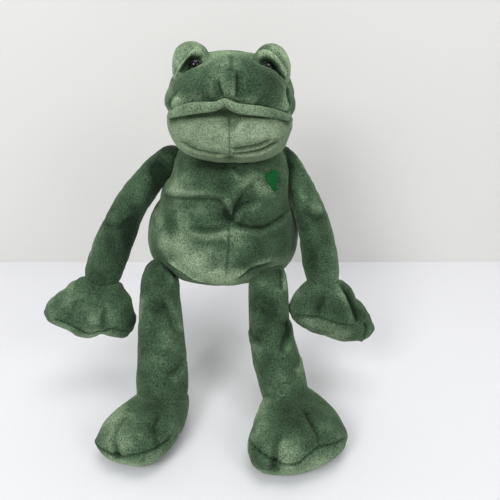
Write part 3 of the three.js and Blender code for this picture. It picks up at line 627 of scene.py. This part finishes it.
def crease_chin(cloth):
    under_lip = [
        (-35, -24, 139), (-25, -33, 143), (-5, -39, 147.5), (7, -39, 149), (25, -38, 146.5), (41, -33, 143),
        (54, -22, 136),
    ]
    press_fold(cloth, under_lip, 3, 1.6, shade=0.9, fade=0.05)
    chin_seam = [(10.5, -40, 147), (10.3, -42.5, 133), (10, -41, 117)]
    press_fold(cloth, chin_seam, 0.6, 0.9, shade=0.7, fade=0.05, stitches=14)
    press_fold(cloth, [(12, -42, 135), (15, -41.5, 141), (19, -40, 145)], 1.6, 1, lip=-0.8, shade=0.3)
    upper_throat = [(11, -42, 122.5), (20, -41.5, 123), (33, -39, 125), (41, -36, 129)]
    press_fold(cloth, upper_throat, 0.9, 1.8, lip=-1.1, shade=0.6, lip_highlight=0.15)
    lower_throat = [(11, -41, 118), (22, -40.5, 118.5), (36, -37.5, 121), (47, -33, 128)]
    press_fold(cloth, lower_throat, 1, 2, lip=-1.2, shade=0.7, lip_highlight=0.15)
    right_throat = [(-27, -31, 127), (-17, -36, 121), (-4, -39.5, 118), (9, -41, 117.5)]
    press_fold(cloth, right_throat, 0.9, 1.6, lip=-1, shade=0.6, lip_highlight=0.1)
    # painted shade in the pinched notch at the chin's bottom and in the valley under the mouth's peak
    plump(cloth, (10, -37, 113), (4.5, 9, 5), -2.6, -0.5)
    plump(cloth, (9, -41, 145), (9, 8, 6), -1.2, -0.4)
    brush(cloth, (-14, -40, 131), (16, 10, 9), 0.15)
    brush(cloth, (32, -38, 134), (14, 10, 8), 0.15)
    # painted shade along the chin's underside
    brush(cloth, (10, -36, 112), (40, 12, 4), -0.3)


def crease_snout(cloth):
    pleat_right = [(2.5, -38, 171), (4.5, -41, 165), (6.3, -43, 159)]
    press_fold(cloth, pleat_right, 1, 1.5, lip=0.8, shade=0.7, lip_highlight=0.15)
    pleat_left = [(15.5, -34, 175), (16, -39.5, 168), (15.5, -42, 157)]
    press_fold(cloth, pleat_left, 1, 1.3, lip=-0.7, shade=0.6, lip_highlight=0.1)
    press_fold(cloth, [(11, -25, 183), (11.8, -31, 179), (12, -37, 172)], 1.4, 0.8, shade=0.25)
    press_fold(cloth, [(-33, -25, 149), (-31, -28, 156), (-25, -31, 161)], 1.8, 1.2, lip=-0.8, shade=0.3)
    press_fold(cloth, [(50, -18, 161), (51.5, -23, 156), (53, -22, 149)], 2.2, 1.8, lip=-1, shade=0.7)
    brush(cloth, (-16, -28, 168), (11, 12, 8), -0.3)
    brush(cloth, (34, -30, 165), (16, 12, 10), -0.35)
    brush(cloth, (-24, -33, 155), (9, 8, 5), 0.25)
    brush(cloth, (44, -28, 152), (9, 9, 6), 0.25)
    brush(cloth, (10, -38, 164), (5, 9, 14), -0.15)
    brush(cloth, (24, -39, 158), (10, 9, 6), 0.2)
    brush(cloth, (-10, -38, 158), (10, 9, 5), 0.25)


def brush_crown(cloth):
    brush(cloth, (10, 6, 185), (30, 16, 9), 0.7)


def crease_mounds(right, left):
    plump(right, (-25, -11, 178), (9, 8, 7), 2)
    plump(left, (46, -11, 177), (8, 8, 8), 2)
    outer_lid_right = [(-33, -5, 166), (-29, -10, 173.5), (-24, -11.5, 179.5), (-14, -4, 188.5)]
    press_fold(right, outer_lid_right, 1, 1.6, lip=-1.2, shade=0.6, fade=0.1)
    inner_lid_right = [(-26.5, -12, 171), (-22, -13, 178), (-16.5, -12.5, 182), (-9, -9, 181)]
    press_fold(right, inner_lid_right, 1.6, 2.4, lip=1.2, shade=0.8, fade=0.1)
    # painted shade in the socket beside the bead
    plump(right, (-15.5, -14, 175.5), (5.5, 7, 5), -1.5, -1.3)
    brush(right, (-29, -4, 176), (7, 12, 14), 0.45)
    brush(right, (-18, -8, 187), (9, 8, 4), 0.25)
    outer_lid_left = [(29.5, -1, 183), (35, -5, 187), (42, -9, 184.5), (48, -11, 177), (53, -7, 167)]
    press_fold(left, outer_lid_left, 1, 1.6, lip=-1.2, shade=0.6, fade=0.1)
    inner_lid_left = [(31, -9, 178), (36, -11.5, 180.5), (42, -14, 177), (46, -13.5, 171), (51, -10, 165)]
    press_fold(left, inner_lid_left, 1.6, 2.4, lip=1.2, shade=0.8, fade=0.1)
    # painted shade in the socket beside the bead
    plump(left, (38, -14, 173.5), (5.5, 7, 5), -1.5, -1.3)
    brush(left, (53, -4, 178), (6, 12, 13), 0.45)
    brush(left, (41, -6, 186), (10, 8, 4), 0.3)


def crease_hands(right, left):
    rim_right = [
        (-135, -58, -13), (-119, -60.5, -19), (-106, -61, -27), (-97, -60, -25), (-88, -61, -21.5),
        (-77, -55, -27),
    ]
    press_fold(right, rim_right, 0.9, 1.7, shade=0.8, fade=0.06, stitches=26)
    press_fold(right, [(-121, -61, -17), (-118.5, -58.5, -7.5), (-114, -55, 2)], 2.6, 2, shade=0.25)
    press_fold(right, [(-94, -62, -23), (-93.7, -60, -12), (-91, -57, -3)], 2.4, 2, shade=0.3)
    brush(right, (-84, -58, -25), (9, 8, 5), 0.35)
    brush(right, (-104, -60, -31), (12, 8, 4), 0.3)
    brush(right, (-128, -58, -20), (10, 8, 4), 0.4)
    brush(right, (-120, -50, 0), (6, 10, 8), 0.2)
    rim_left = [
        (63, -55, -11), (75, -60, -11), (82, -60, -11.5), (92, -61, -15), (103, -60.5, -18), (110, -59, -18),
    ]
    press_fold(left, rim_left, 0.9, 1.7, shade=0.7, fade=0.06, stitches=20)
    beside_thumb_left = [(98, -46, 11), (103.5, -51, 2.5), (108, -55, -6), (113.5, -59, -19)]
    press_fold(left, beside_thumb_left, 2, 3.4, lip=-1.5, shade=0.7)
    press_fold(left, [(118, -57, -18), (120, -57, -24), (118, -56, -31)], 1.4, 2, shade=0.5)
    press_fold(left, [(80, -60.5, -11), (81.5, -58, -2.5), (85, -55, 6)], 2.4, 1.6, shade=0.25)
    brush(left, (90, -57, -3), (16, 12, 11), -0.35)
    brush(left, (72, -58, -16), (11, 10, 7), 0.5)
    brush(left, (102, -59, -28), (16, 10, 9), 0.55)
    brush(left, (122, -55, -28), (7, 10, 6), 0.3)


def crease_arms(right, left):
    # painted shade on the arm's inner side, in the gap against the torso
    brush(right, (-50, -6, 86), (8, 16, 26), -0.5)
    brush(right, (-70, -30, 44), (11, 16, 30), -0.55)
    brush(right, (-100, -36, 30), (8, 16, 24), 0.5)
    brush(right, (-80, -10, 72), (9, 14, 16), 0.35)
    press_fold(right, [(-70, -22, 62), (-80, -31, 56), (-90, -32, 58)], 3, 1.2, lip=-1, shade=0.3)
    # painted shade on the arm's inner side, in the gap against the torso
    brush(left, (56, -8, 84), (5, 16, 28), -0.9)
    brush(left, (67, -18, 72), (4, 12, 20), 0.35)
    brush(left, (70, -32, 46), (9, 16, 32), -0.4)
    brush(left, (94, -34, 40), (8, 16, 28), 0.3)
    press_fold(left, [(68, -22, 67), (76, -27, 62), (86, -26, 62)], 3, 1.2, lip=1, shade=0.3)


def crease_legs(right, left):
    shin_right = [(-47, -56, 6), (-41, -63, -6), (-36, -68, -17), (-30, -66, -28)]
    press_fold(right, shin_right, 2.6, 1.6, lip=1.2, shade=0.3)
    press_fold(right, [(-48, -32, 23), (-41, -37, 20), (-36, -38, 11)], 2.2, 1.8, lip=-1, shade=0.7)
    knee_left = [(57, -62, -11), (54, -67, -19), (51, -75, -25), (49, -82, -33)]
    press_fold(left, knee_left, 2.2, 2.8, lip=1.8, shade=0.55)
    press_fold(left, [(50, -35, 20), (50.5, -41, 15), (50, -50, 7)], 1.8, 1.6, lip=1, shade=0.5)
    press_fold(left, [(66, -73, -38), (62, -78, -42), (57, -86, -44)], 2, 1.6, lip=1, shade=0.35)
    press_fold(right, [(-30, -74, -40), (-36, -80, -46), (-43, -83, -50)], 2.4, 1.4, lip=1, shade=0.3)
    press_fold(left, [(26, -60, -20), (31, -66, -24), (38, -72, -28)], 2.4, 1.4, lip=-1, shade=0.3)
    brush(right, (-50, -58, -14), (8, 16, 24), -0.35)
    brush(right, (-63, -56, -10), (6, 16, 40), 0.25)
    brush(right, (-40, -80, -52), (10, 12, 12), 0.2)
    brush(left, (42, -50, -6), (10, 16, 14), -0.4)
    brush(left, (38, -66, -30), (8, 14, 16), -0.3)
    brush(left, (56, -74, -40), (9, 14, 12), 0.3)
    brush(left, (44, -84, -56), (10, 12, 8), 0.3)
    # painted shade on the leg tops, in the gaps under the torso
    brush(right, (-44, -34, 18), (14, 12, 6), -0.6)
    brush(left, (42, -34, 17), (14, 12, 6), -0.6)
    # painted shade beside the knee fold
    brush(left, (58, -66, -22), (6, 9, 13), -0.5)
    brush(left, (34, -78, -48), (7, 12, 16), -0.2)


def crease_feet(right, left):
    rim_right = [
        (-90, -124, -80), (-80, -134, -78), (-70, -139, -79), (-59, -141, -75.5), (-49, -140, -74),
        (-40, -135, -74), (-31, -124, -74),
    ]
    press_fold(right, rim_right, 0.9, 1.8, shade=0.8, fade=0.06, stitches=30)
    outer_toe_right = [(-70, -140, -80), (-74, -132, -71), (-73, -124, -65), (-69, -115, -64)]
    press_fold(right, outer_toe_right, 2.6, 3, shade=0.3)
    inner_toe_right = [(-42, -137, -75), (-44, -132, -68), (-46, -124, -64.5), (-44, -112, -64)]
    press_fold(right, inner_toe_right, 2.4, 2.4, shade=0.35)
    # painted shade in the notch at the toe's tip
    plump(right, (-71, -141, -80), (3, 5, 4), -2, -0.5)
    brush(right, (-48, -112, -62), (14, 24, 8), -0.45)
    brush(right, (-80, -112, -66), (9, 22, 9), 0.4)
    brush(right, (-66, -136, -70), (12, 11, 8), 0.3)
    brush(right, (-58, -144, -84), (28, 9, 8), 0.5)
    rim_left = [
        (25, -128, -74), (35, -142, -73), (48, -149, -76), (59, -149, -76), (67, -146, -71.5),
        (75, -140, -70), (86, -135, -72), (99, -127, -74),
    ]
    press_fold(left, rim_left, 0.9, 1.8, shade=0.8, fade=0.06, stitches=30)
    inner_toe_left = [(42, -150, -82), (43, -145, -72), (44, -140, -67), (48, -132, -64.5)]
    press_fold(left, inner_toe_left, 2.6, 3.2, shade=0.4)
    outer_toe_left = [(74.5, -140, -70), (74, -132, -66), (70, -122, -64.5), (66, -108, -62)]
    press_fold(left, outer_toe_left, 1.8, 2.2, shade=0.4)
    # painted shade in the notch at the toe's tip
    plump(left, (42, -150, -80), (4, 5, 5), -2, -0.5)
    brush(left, (64, -110, -60), (22, 24, 10), -0.5)
    brush(left, (32, -108, -64), (8, 20, 9), 0.2)
    brush(left, (54, -146, -72), (15, 10, 9), 0.35)
    brush(left, (74, -148, -84), (28, 9, 9), 0.6)
    brush(left, (30, -148, -86), (9, 8, 5), 0.35)
    brush(left, (30, -142, -76), (7, 9, 7), -0.5)


def line_pouch(name, outline, origin, across, along, half_thickness, rounding):
    """The pellet bag inside a hand or foot: smaller than its cloth, and kept SEAM_ROOM clear of one end."""
    corners = np.array(outline, float)
    middle = (corners.min(axis=0) + corners.max(axis=0)) / 2
    inner = middle + (corners - middle) * POUCH_SHARE
    inner[:, 1] = np.maximum(inner[:, 1], corners[:, 1].min() + SEAM_ROOM)
    inner = [tuple(corner) for corner in inner]
    bag = sew_together(name, cut_paddle(inner, origin, across, along))
    crown_paddle(bag, inner, origin, across, along, half_thickness - POUCH_EASE, rounding)
    finish_modifier(bag, "SUBSURF", levels=1, render_levels=1)
    return smooth(bag)


def make_inner(name, colour, pale, grain, roughness=0.9):
    """Finish of what is sewn inside: lining cloth, fibre fill or moulded plastic, by its grain."""
    material, tree, shader = new_finish(name, roughness, 0.2)
    where = tree.nodes.new("ShaderNodeTexCoord").outputs["Object"]
    mottle = add_noise(tree, where, grain, 4, 0.5)
    tree.links.new(add_mix(tree, mottle, (*colour, 1), (*pale, 1)), shader.inputs["Base Color"])
    add_bump(tree, shader, mottle, 0.5, 0.0006)
    return material


def stitch_heart(outline):
    """Padded satin stitch over an outline on the torso."""
    thickness = HEART_OUTWARD * HEART_PADDING
    patch = cut_slab([Vector(place) - thickness / 2 for place in outline], thickness)
    patch.name = "heart_stitch"
    finish_modifier(patch, "REMESH", mode="VOXEL", voxel_size=HEART_GRAIN * MM)
    finish_modifier(patch, "SMOOTH", factor=0.5, iterations=5)
    return smooth(patch)


def make_heart_thread():
    material, tree, shader = new_finish("heart_thread", 0.5, 0.12)
    where = tree.nodes.new("ShaderNodeTexCoord").outputs["Object"]
    threads = tree.nodes.new("ShaderNodeTexWave")
    threads.bands_direction = "Z"
    threads.inputs["Scale"].default_value = 260
    threads.inputs["Distortion"].default_value = 1.2
    threads.inputs["Detail Scale"].default_value = 2
    tree.links.new(where, threads.inputs["Vector"])
    colour = add_mix(tree, threads.outputs["Fac"], (0.002, 0.060, 0.010, 1), (0.004, 0.150, 0.032, 1))
    tree.links.new(colour, shader.inputs["Base Color"])
    add_bump(tree, shader, threads.outputs["Fac"], 0.6, 0.0005)
    return material


def turn_bead(centre):
    """Glossy dome with a flat back and the shank that goes through the cloth."""
    pick()
    bpy.ops.mesh.primitive_uv_sphere_add(
        segments=48, ring_count=32, radius=BEAD_RADIUS * MM, location=centre * MM, rotation=UPRIGHT
    )
    dome = settle(bpy.context.object)
    bpy.ops.object.mode_set(mode="EDIT")
    bpy.ops.mesh.select_all(action="SELECT")
    back = centre + Vector((0, BEAD_BACK, 0))
    bpy.ops.mesh.bisect(plane_co=back * MM, plane_no=(0, 1, 0), use_fill=True, clear_outer=True)
    bpy.ops.object.mode_set(mode="OBJECT")
    pick()
    middle = (centre + Vector((0, SHANK_MIDDLE, 0))) * MM
    bpy.ops.mesh.primitive_cylinder_add(
        vertices=24, radius=SHANK_RADIUS * MM, depth=SHANK_LENGTH * MM, location=middle, rotation=UPRIGHT
    )
    pick(dome, bpy.context.object)
    bpy.ops.object.join()
    bead = settle(bpy.context.object)
    bpy.ops.object.shade_smooth_by_angle(angle=math.radians(40))
    return bead


def dress(piece, material):
    piece.data.materials.clear()
    piece.data.materials.append(material)


add_camera()
lay_floor()
light_studio()

PILE = make_pile_group()
BODY_PLUSH = make_plush(
    "body_plush", PILE,
    deep=(0.010, 0.022, 0.011), cloth=(0.060, 0.110, 0.060), brushed=(0.30, 0.40, 0.25),
)
FACE_PLUSH = make_plush(
    "face_plush", PILE,
    deep=(0.06, 0.095, 0.05), cloth=(0.20, 0.27, 0.165), brushed=(0.44, 0.54, 0.37),
    patches=0.9, grain=2.0, sheen=0.4,
)
EYE_PLASTIC = make_plain("eye_plastic", (0.001, 0.001, 0.001), 0.03, 0.35)
HEART_THREAD = make_heart_thread()

TORSO_LEVELS = [
    (0, -41, 43, -26, 24),
    (6, -51, 53, -36, 32),
    (14, -57.5, 60, -43, 38),
    (24, -61, 64, -47.5, 42),
    (36, -62, 65.5, -49.5, 43),
    (50, -60.5, 63.5, -48.5, 43),
    (60, -57.5, 62, -45, 41),
    (67, -52.5, 59.5, -42, 40),
    (74, -51, 57, -41, 39.5),
    (84, -47, 57, -39, 37),
    (93, -42.5, 57, -36, 36),
    (101, -40, 56, -31, 34),
    (110, -36, 51, -24, 29),
    (118, -28, 42, -14, 22),
]
ARM_HOOPS = {
    "right": [
        (-33, 4, 108, 7, 7),
        (-41, 3, 103, 9.8, 9.5),
        (-50, 1, 95, 11.6, 10.5),
        (-56.3, -2.5, 87, 13.5, 11),
        (-63.7, -7.5, 79.5, 14.6, 11.5),
        (-75, -14.5, 65, 14.6, 12.5),
        (-82, -22, 50, 16, 13),
        (-89, -28.5, 35.5, 16.6, 13.5),
        (-95, -35, 20, 16, 13),
        (-98, -39, 10, 13.5, 9.5),
        (-99, -41, 3, 8, 5.5),
    ],
    "left": [
        (45, 4, 108, 7, 7),
        (51, 3, 103, 10, 9.5),
        (58, 1, 95, 11.2, 10.2),
        (63.5, -3, 86, 11.6, 10.5),
        (67.8, -8, 76.5, 13.2, 11),
        (74, -15.5, 63, 13.8, 12),
        (78.2, -23, 49, 14.6, 13),
        (81, -30, 34.5, 15, 13.5),
        (83.5, -35.5, 20, 15, 13),
        (85.5, -39, 10, 13, 9.5),
        (87, -41, 3, 8, 5.5),
    ],
}
LEG_HOOPS = {
    "right": [
        (-49.5, -20, 17, 9, 8),
        (-50, -28, 13, 14.5, 12.5),
        (-50.5, -37, 4, 16.8, 15),
        (-49.5, -47, -8, 18.2, 15.5),
        (-49, -57, -21, 19.5, 16),
        (-48, -65, -36, 21, 16),
        (-47, -75, -52, 21.8, 15.5),
        (-46.8, -82, -64, 21.8, 15),
        (-47, -87, -74, 20, 14.5),
        (-47, -90, -80, 15, 11),
    ],
    "left": [
        (39.5, -20, 17, 9, 8),
        (40.5, -28, 13, 14.5, 12.5),
        (40.5, -37, 4, 16.8, 15),
        (41, -47, -7, 17, 15.5),
        (41, -57, -21, 17, 16),
        (44.2, -65, -35, 20, 16),
        (49, -76, -53, 20.6, 15.5),
        (53, -83, -66, 19.3, 15),
        (55, -88, -75, 18, 14.5),
        (56, -91, -81, 15, 11),
    ],
}
HAND_OUTLINE = {
    "right": [(-15.5, -5), (-26.5, 3), (-38.5, 16), (-44, 24), (-46, 31), (-42.5, 37.5), (-35, 41.5),
              (-28, 44), (-17.5, 49), (-9, 50.5), (-1, 49.5), (4.5, 46), (11.5, 45.5), (23, 45.5),
              (31, 37.5), (31.5, 27), (25.5, 9.5), (15, -3)],
    "left": [(-13.5, -6), (-21, 1), (-28.5, 8.5), (-32.5, 16.5), (-31, 26), (-26, 33.5), (-17, 40.5),
             (-5.5, 46.5), (5, 52), (10.5, 53.5), (17.5, 53), (25, 55.5), (34, 51.5), (37.5, 47),
             (38.5, 41), (33, 24.5), (23.5, 8.5), (15.5, -2)],
}
HAND_ROOT = {"right": Vector((-98, -41, 9)), "left": Vector((87, -41, 9))}
HAND_AIM = {"right": Vector((-0.139, -0.219, -0.966)), "left": Vector((0.12, -0.22, -0.968))}
HAND_ACROSS = {"right": Vector((1, 0, 0)), "left": Vector((0.97, 0, -0.24))}
FOOT_OUTLINE = {
    "right": [(-59, 68.5), (-68, 79), (-77, 90.5), (-85.5, 102), (-90.5, 113), (-92, 126), (-86.5, 134.5),
              (-78.5, 139.5), (-70.5, 141.5), (-63, 143.5), (-54, 144.5), (-48.5, 143.5), (-41.5, 138),
              (-35, 130), (-29.5, 119.5), (-25.5, 105), (-24, 88.5), (-28, 73), (-45, 66.5)],
    "left": [(35, 80), (28, 97.5), (24, 116.5), (22.5, 133), (25.5, 144.5), (34, 150), (42.5, 151),
             (52.5, 151.5), (62, 150.5), (71.5, 147), (79.5, 143), (88, 138), (96.5, 131), (100, 120.5),
             (96.5, 104), (87, 87), (76.5, 73.5), (64, 66.5), (46.5, 69.5)],
}
FOOT_MIDDLE = Vector((0, 0, -80))
TOE_WAY = Vector((0, -1, 0))
HEAD_TURN = (0, 1.6, -1.5)

SNOUT_HOOPS = [
    (-37, -12, 152, -18, 147, 3),
    (-34, -9.5, 158.5, -22, 147, 6),
    (-29, -9.5, 163.5, -27, 147.5, 8.5),
    (-22, -11.5, 169.8, -32.5, 149.5, 9),
    (-11, -14.5, 177, -37.5, 152, 9),
    (0, -16, 182.5, -40, 153.5, 9),
    (9.5, -16.5, 186.5, -41, 154.5, 9),
    (20, -16, 184, -39.5, 152.5, 9),
    (32, -14, 179, -36, 150.5, 9),
    (43, -11, 171, -30.5, 147, 8.5),
    (51, -9.5, 162.5, -24.5, 143, 6),
    (54.5, -11.5, 154, -20, 143.5, 3),
]
LIP_HOOPS = [
    (-36, -24, 141.5, 1.4, 1.2),
    (-34, -27, 143.2, 2.4, 2),
    (-29, -32, 146.6, 3.5, 2.8),
    (-21, -37, 149.9, 4.3, 3.2),
    (-10, -42, 152.3, 4.1, 3.2),
    (-1, -44.3, 152.9, 3.4, 3),
    (3.5, -45.2, 154.3, 2.9, 2.9),
    (6.8, -45.4, 157, 2.7, 2.7),
    (9.8, -45.2, 155.6, 2.9, 2.9),
    (13.5, -44.8, 152.6, 3.4, 3),
    (21.5, -43.3, 150.8, 3.7, 3.1),
    (32, -39.5, 149.3, 3.7, 3.1),
    (43, -33.8, 146.2, 3.4, 2.9),
    (51, -28, 142.8, 2.8, 2.4),
    (54.8, -24.5, 140.2, 2, 1.8),
    (56.5, -22.5, 138.8, 1.2, 1.1),
]
BEADS = {"right": Vector((-15, -12, 176.3)), "left": Vector((38.4, -12, 173.9))}
PADDLE_CORE = 8  # thickness of a paddle's slab before it is filled out
PALM = (12.5, 13)  # half thickness of a hand, and the width over which it rounds off
SOLE = (14.5, 14)  # the same of a foot
POUCH_SHARE = 0.86
POUCH_EASE = 3
SEAM_ROOM = 17
BEAD_RADIUS = 4.8
BEAD_BACK = 1
SHANK_RADIUS = 2
SHANK_LENGTH = 9
SHANK_MIDDLE = 5
HEART_OUTLINE = [
    (36.2, -28.8, 97.3), (37.1, -27.5, 99.6), (38.9, -26.2, 100), (40.7, -25.8, 97.8), (42, -24.3, 101),
    (43.8, -22.8, 101.2), (45.6, -22, 99), (46.2, -22.9, 95.8), (46, -24.6, 91), (45.5, -26, 86.8),
    (44.6, -27.2, 84.2), (43.2, -28.2, 85), (40.2, -29.1, 90.5), (37.6, -29.4, 94.5),
]
HEART_MIDDLE = (41.5, -27, 93)
HEART_OUTWARD = Vector((0.62, -0.77, 0.15)).normalized()
HEART_PADDING = 3
HEART_GRAIN = 0.5
BASE_NAP = {
    "arm_right": -0.3,
    "arm_left": -0.2,
    "leg_right": -0.15,
    "leg_left": -0.1,
    "hand_left": -0.15,
    "upper_lip": 0.3,
    "eye_mound_right": 0.3,
    "eye_mound_left": 0.25,
    "torso": 0.05,
}
FACE_PIECES = ("chin", "snout", "upper_lip", "eye_mound_right", "eye_mound_left")
PALE_PIECES = ("chin",)
SEWN_ON = {
    "arm_right": ("torso", "arm_right", (-38, 4, 103), (-62, -5, 84)),
    "arm_left": ("torso", "arm_left", (50, 4, 103), (66, -5, 84)),
    "leg_right": ("torso", "leg_right", (-50, -24, 17), (-49.5, -46, -5)),
    "leg_left": ("torso", "leg_left", (40, -24, 17), (41, -46, -5)),
    "hand_right": ("arm_right", "hand_right", (-98, -39, 13), (-100.5, -43, -3)),
    "hand_left": ("arm_left", "hand_left", (87, -39, 13), (89, -43, -3)),
    "foot_right": ("leg_right", "foot_right", (-47, -84, -62), (-47, -93.6, -74.8)),
    "foot_left": ("leg_left", "foot_left", (54, -84, -62), (54, -93.6, -74.8)),
}

cases = {"torso": sew_together("torso_cloth", body_sleeve(TORSO_LEVELS))}
cases["head"] = sew_together(
    "head_cloth",
    puff((10.2, 11, 149), (48.5, 34.5, 34), 0.12, HEAD_TURN),
    puff((9.8, 3, 146.5), (49.5, 24, 19), 0.2, HEAD_TURN),
)
cases["chin"] = sew_together(
    "chin_cloth",
    puff((9.5, -12, 135), (46.5, 29.5, 24), 0.22, HEAD_TURN),
    puff((9.5, -13, 123.2), (43, 28, 16.2), 0.08, HEAD_TURN),
    grain=FACE_GRAIN,
)
cases["snout"] = sew_together("snout_cloth", jaw_sleeve(SNOUT_HOOPS), grain=FACE_GRAIN)
cases["eye_mound_right"] = sew_together(
    "eye_mound_right_cloth", puff((-19.2, 4, 172), (14.4, 16.5, 19), 0.2), grain=FACE_GRAIN
)
cases["eye_mound_left"] = sew_together(
    "eye_mound_left_cloth", puff((40.7, 3, 170.8), (14.9, 16.5, 19)), grain=FACE_GRAIN
)
pouches = {}
for side in SIDES:
    cases[f"arm_{side}"] = sew_together(f"arm_{side}_cloth", limb_sleeve(ARM_HOOPS[side]))
    cases[f"leg_{side}"] = sew_together(f"leg_{side}_cloth", limb_sleeve(LEG_HOOPS[side]))
    hand = (HAND_OUTLINE[side], HAND_ROOT[side], HAND_ACROSS[side], HAND_AIM[side])
    palm = sew_together(f"hand_{side}_cloth", cut_paddle(*hand))
    cases[f"hand_{side}"] = crown_paddle(palm, *hand, *PALM)
    pouches[f"hand_pouch_{side}"] = line_pouch(f"hand_bag_{side}", *hand, *PALM)
    foot = (FOOT_OUTLINE[side], FOOT_MIDDLE, ACROSS, TOE_WAY)
    sole = sew_together(f"foot_{side}_cloth", cut_paddle(*foot))
    cases[f"foot_{side}"] = crown_paddle(sole, *foot, *SOLE)
    pouches[f"foot_pouch_{side}"] = line_pouch(f"foot_bag_{side}", *foot, *SOLE)

stuff(cases.values())
cases["upper_lip"] = limb_sleeve(LIP_HOOPS, Vector((0, 0.3, 1)))
cases["upper_lip"].name = "upper_lip_cloth"
for node, case in cases.items():
    refine(case, 0 if node == "upper_lip" else 2)
    add_nap_and_shade(case, BASE_NAP.get(node, 0))
brush_crown(cases["head"])
crease_torso(cases["torso"])
crease_chin(cases["chin"])
crease_snout(cases["snout"])
crease_mounds(cases["eye_mound_right"], cases["eye_mound_left"])
crease_arms(cases["arm_right"], cases["arm_left"])
crease_hands(cases["hand_right"], cases["hand_left"])
crease_legs(cases["leg_right"], cases["leg_left"])
crease_feet(cases["foot_right"], cases["foot_left"])

for node, case in cases.items():
    dress(case, FACE_PLUSH if node in PALE_PIECES else BODY_PLUSH)
    if node in SEWN_ON:
        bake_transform(case)
    else:
        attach(case, "head" if node in FACE_PIECES else node)
    if node != "upper_lip":
        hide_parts(node)

for side, centre in BEADS.items():
    bead = turn_bead(centre)
    bead.name = f"eye_{side}_bead"
    bead.data.materials.append(EYE_PLASTIC)
    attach(bead, "head")
    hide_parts(f"eye_{side}")

POUCH_CLOTH = make_inner("pouch_cloth", (0.42, 0.38, 0.30), (0.60, 0.56, 0.47), 900)
FIBRE_FILL = make_inner("fibre_fill", (0.66, 0.66, 0.64), (0.85, 0.85, 0.84), 140)
WASHER_PLASTIC = make_inner("washer_plastic", (0.74, 0.73, 0.68), (0.80, 0.79, 0.74), 300, 0.4)
for node, bag in pouches.items():
    dress(bag, POUCH_CLOTH)
    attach(bag, node.replace("_pouch", ""))
    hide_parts(node)
for name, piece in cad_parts.items():
    if "fill" in name:
        dress(piece, FIBRE_FILL)
    elif name == "seat_pouch":
        dress(piece, POUCH_CLOTH)
    elif "washer" in name:
        dress(piece, WASHER_PLASTIC)

heart = stitch_heart(HEART_OUTLINE)
heart.data.materials.append(HEART_THREAD)
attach(heart, "torso")
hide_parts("heart")
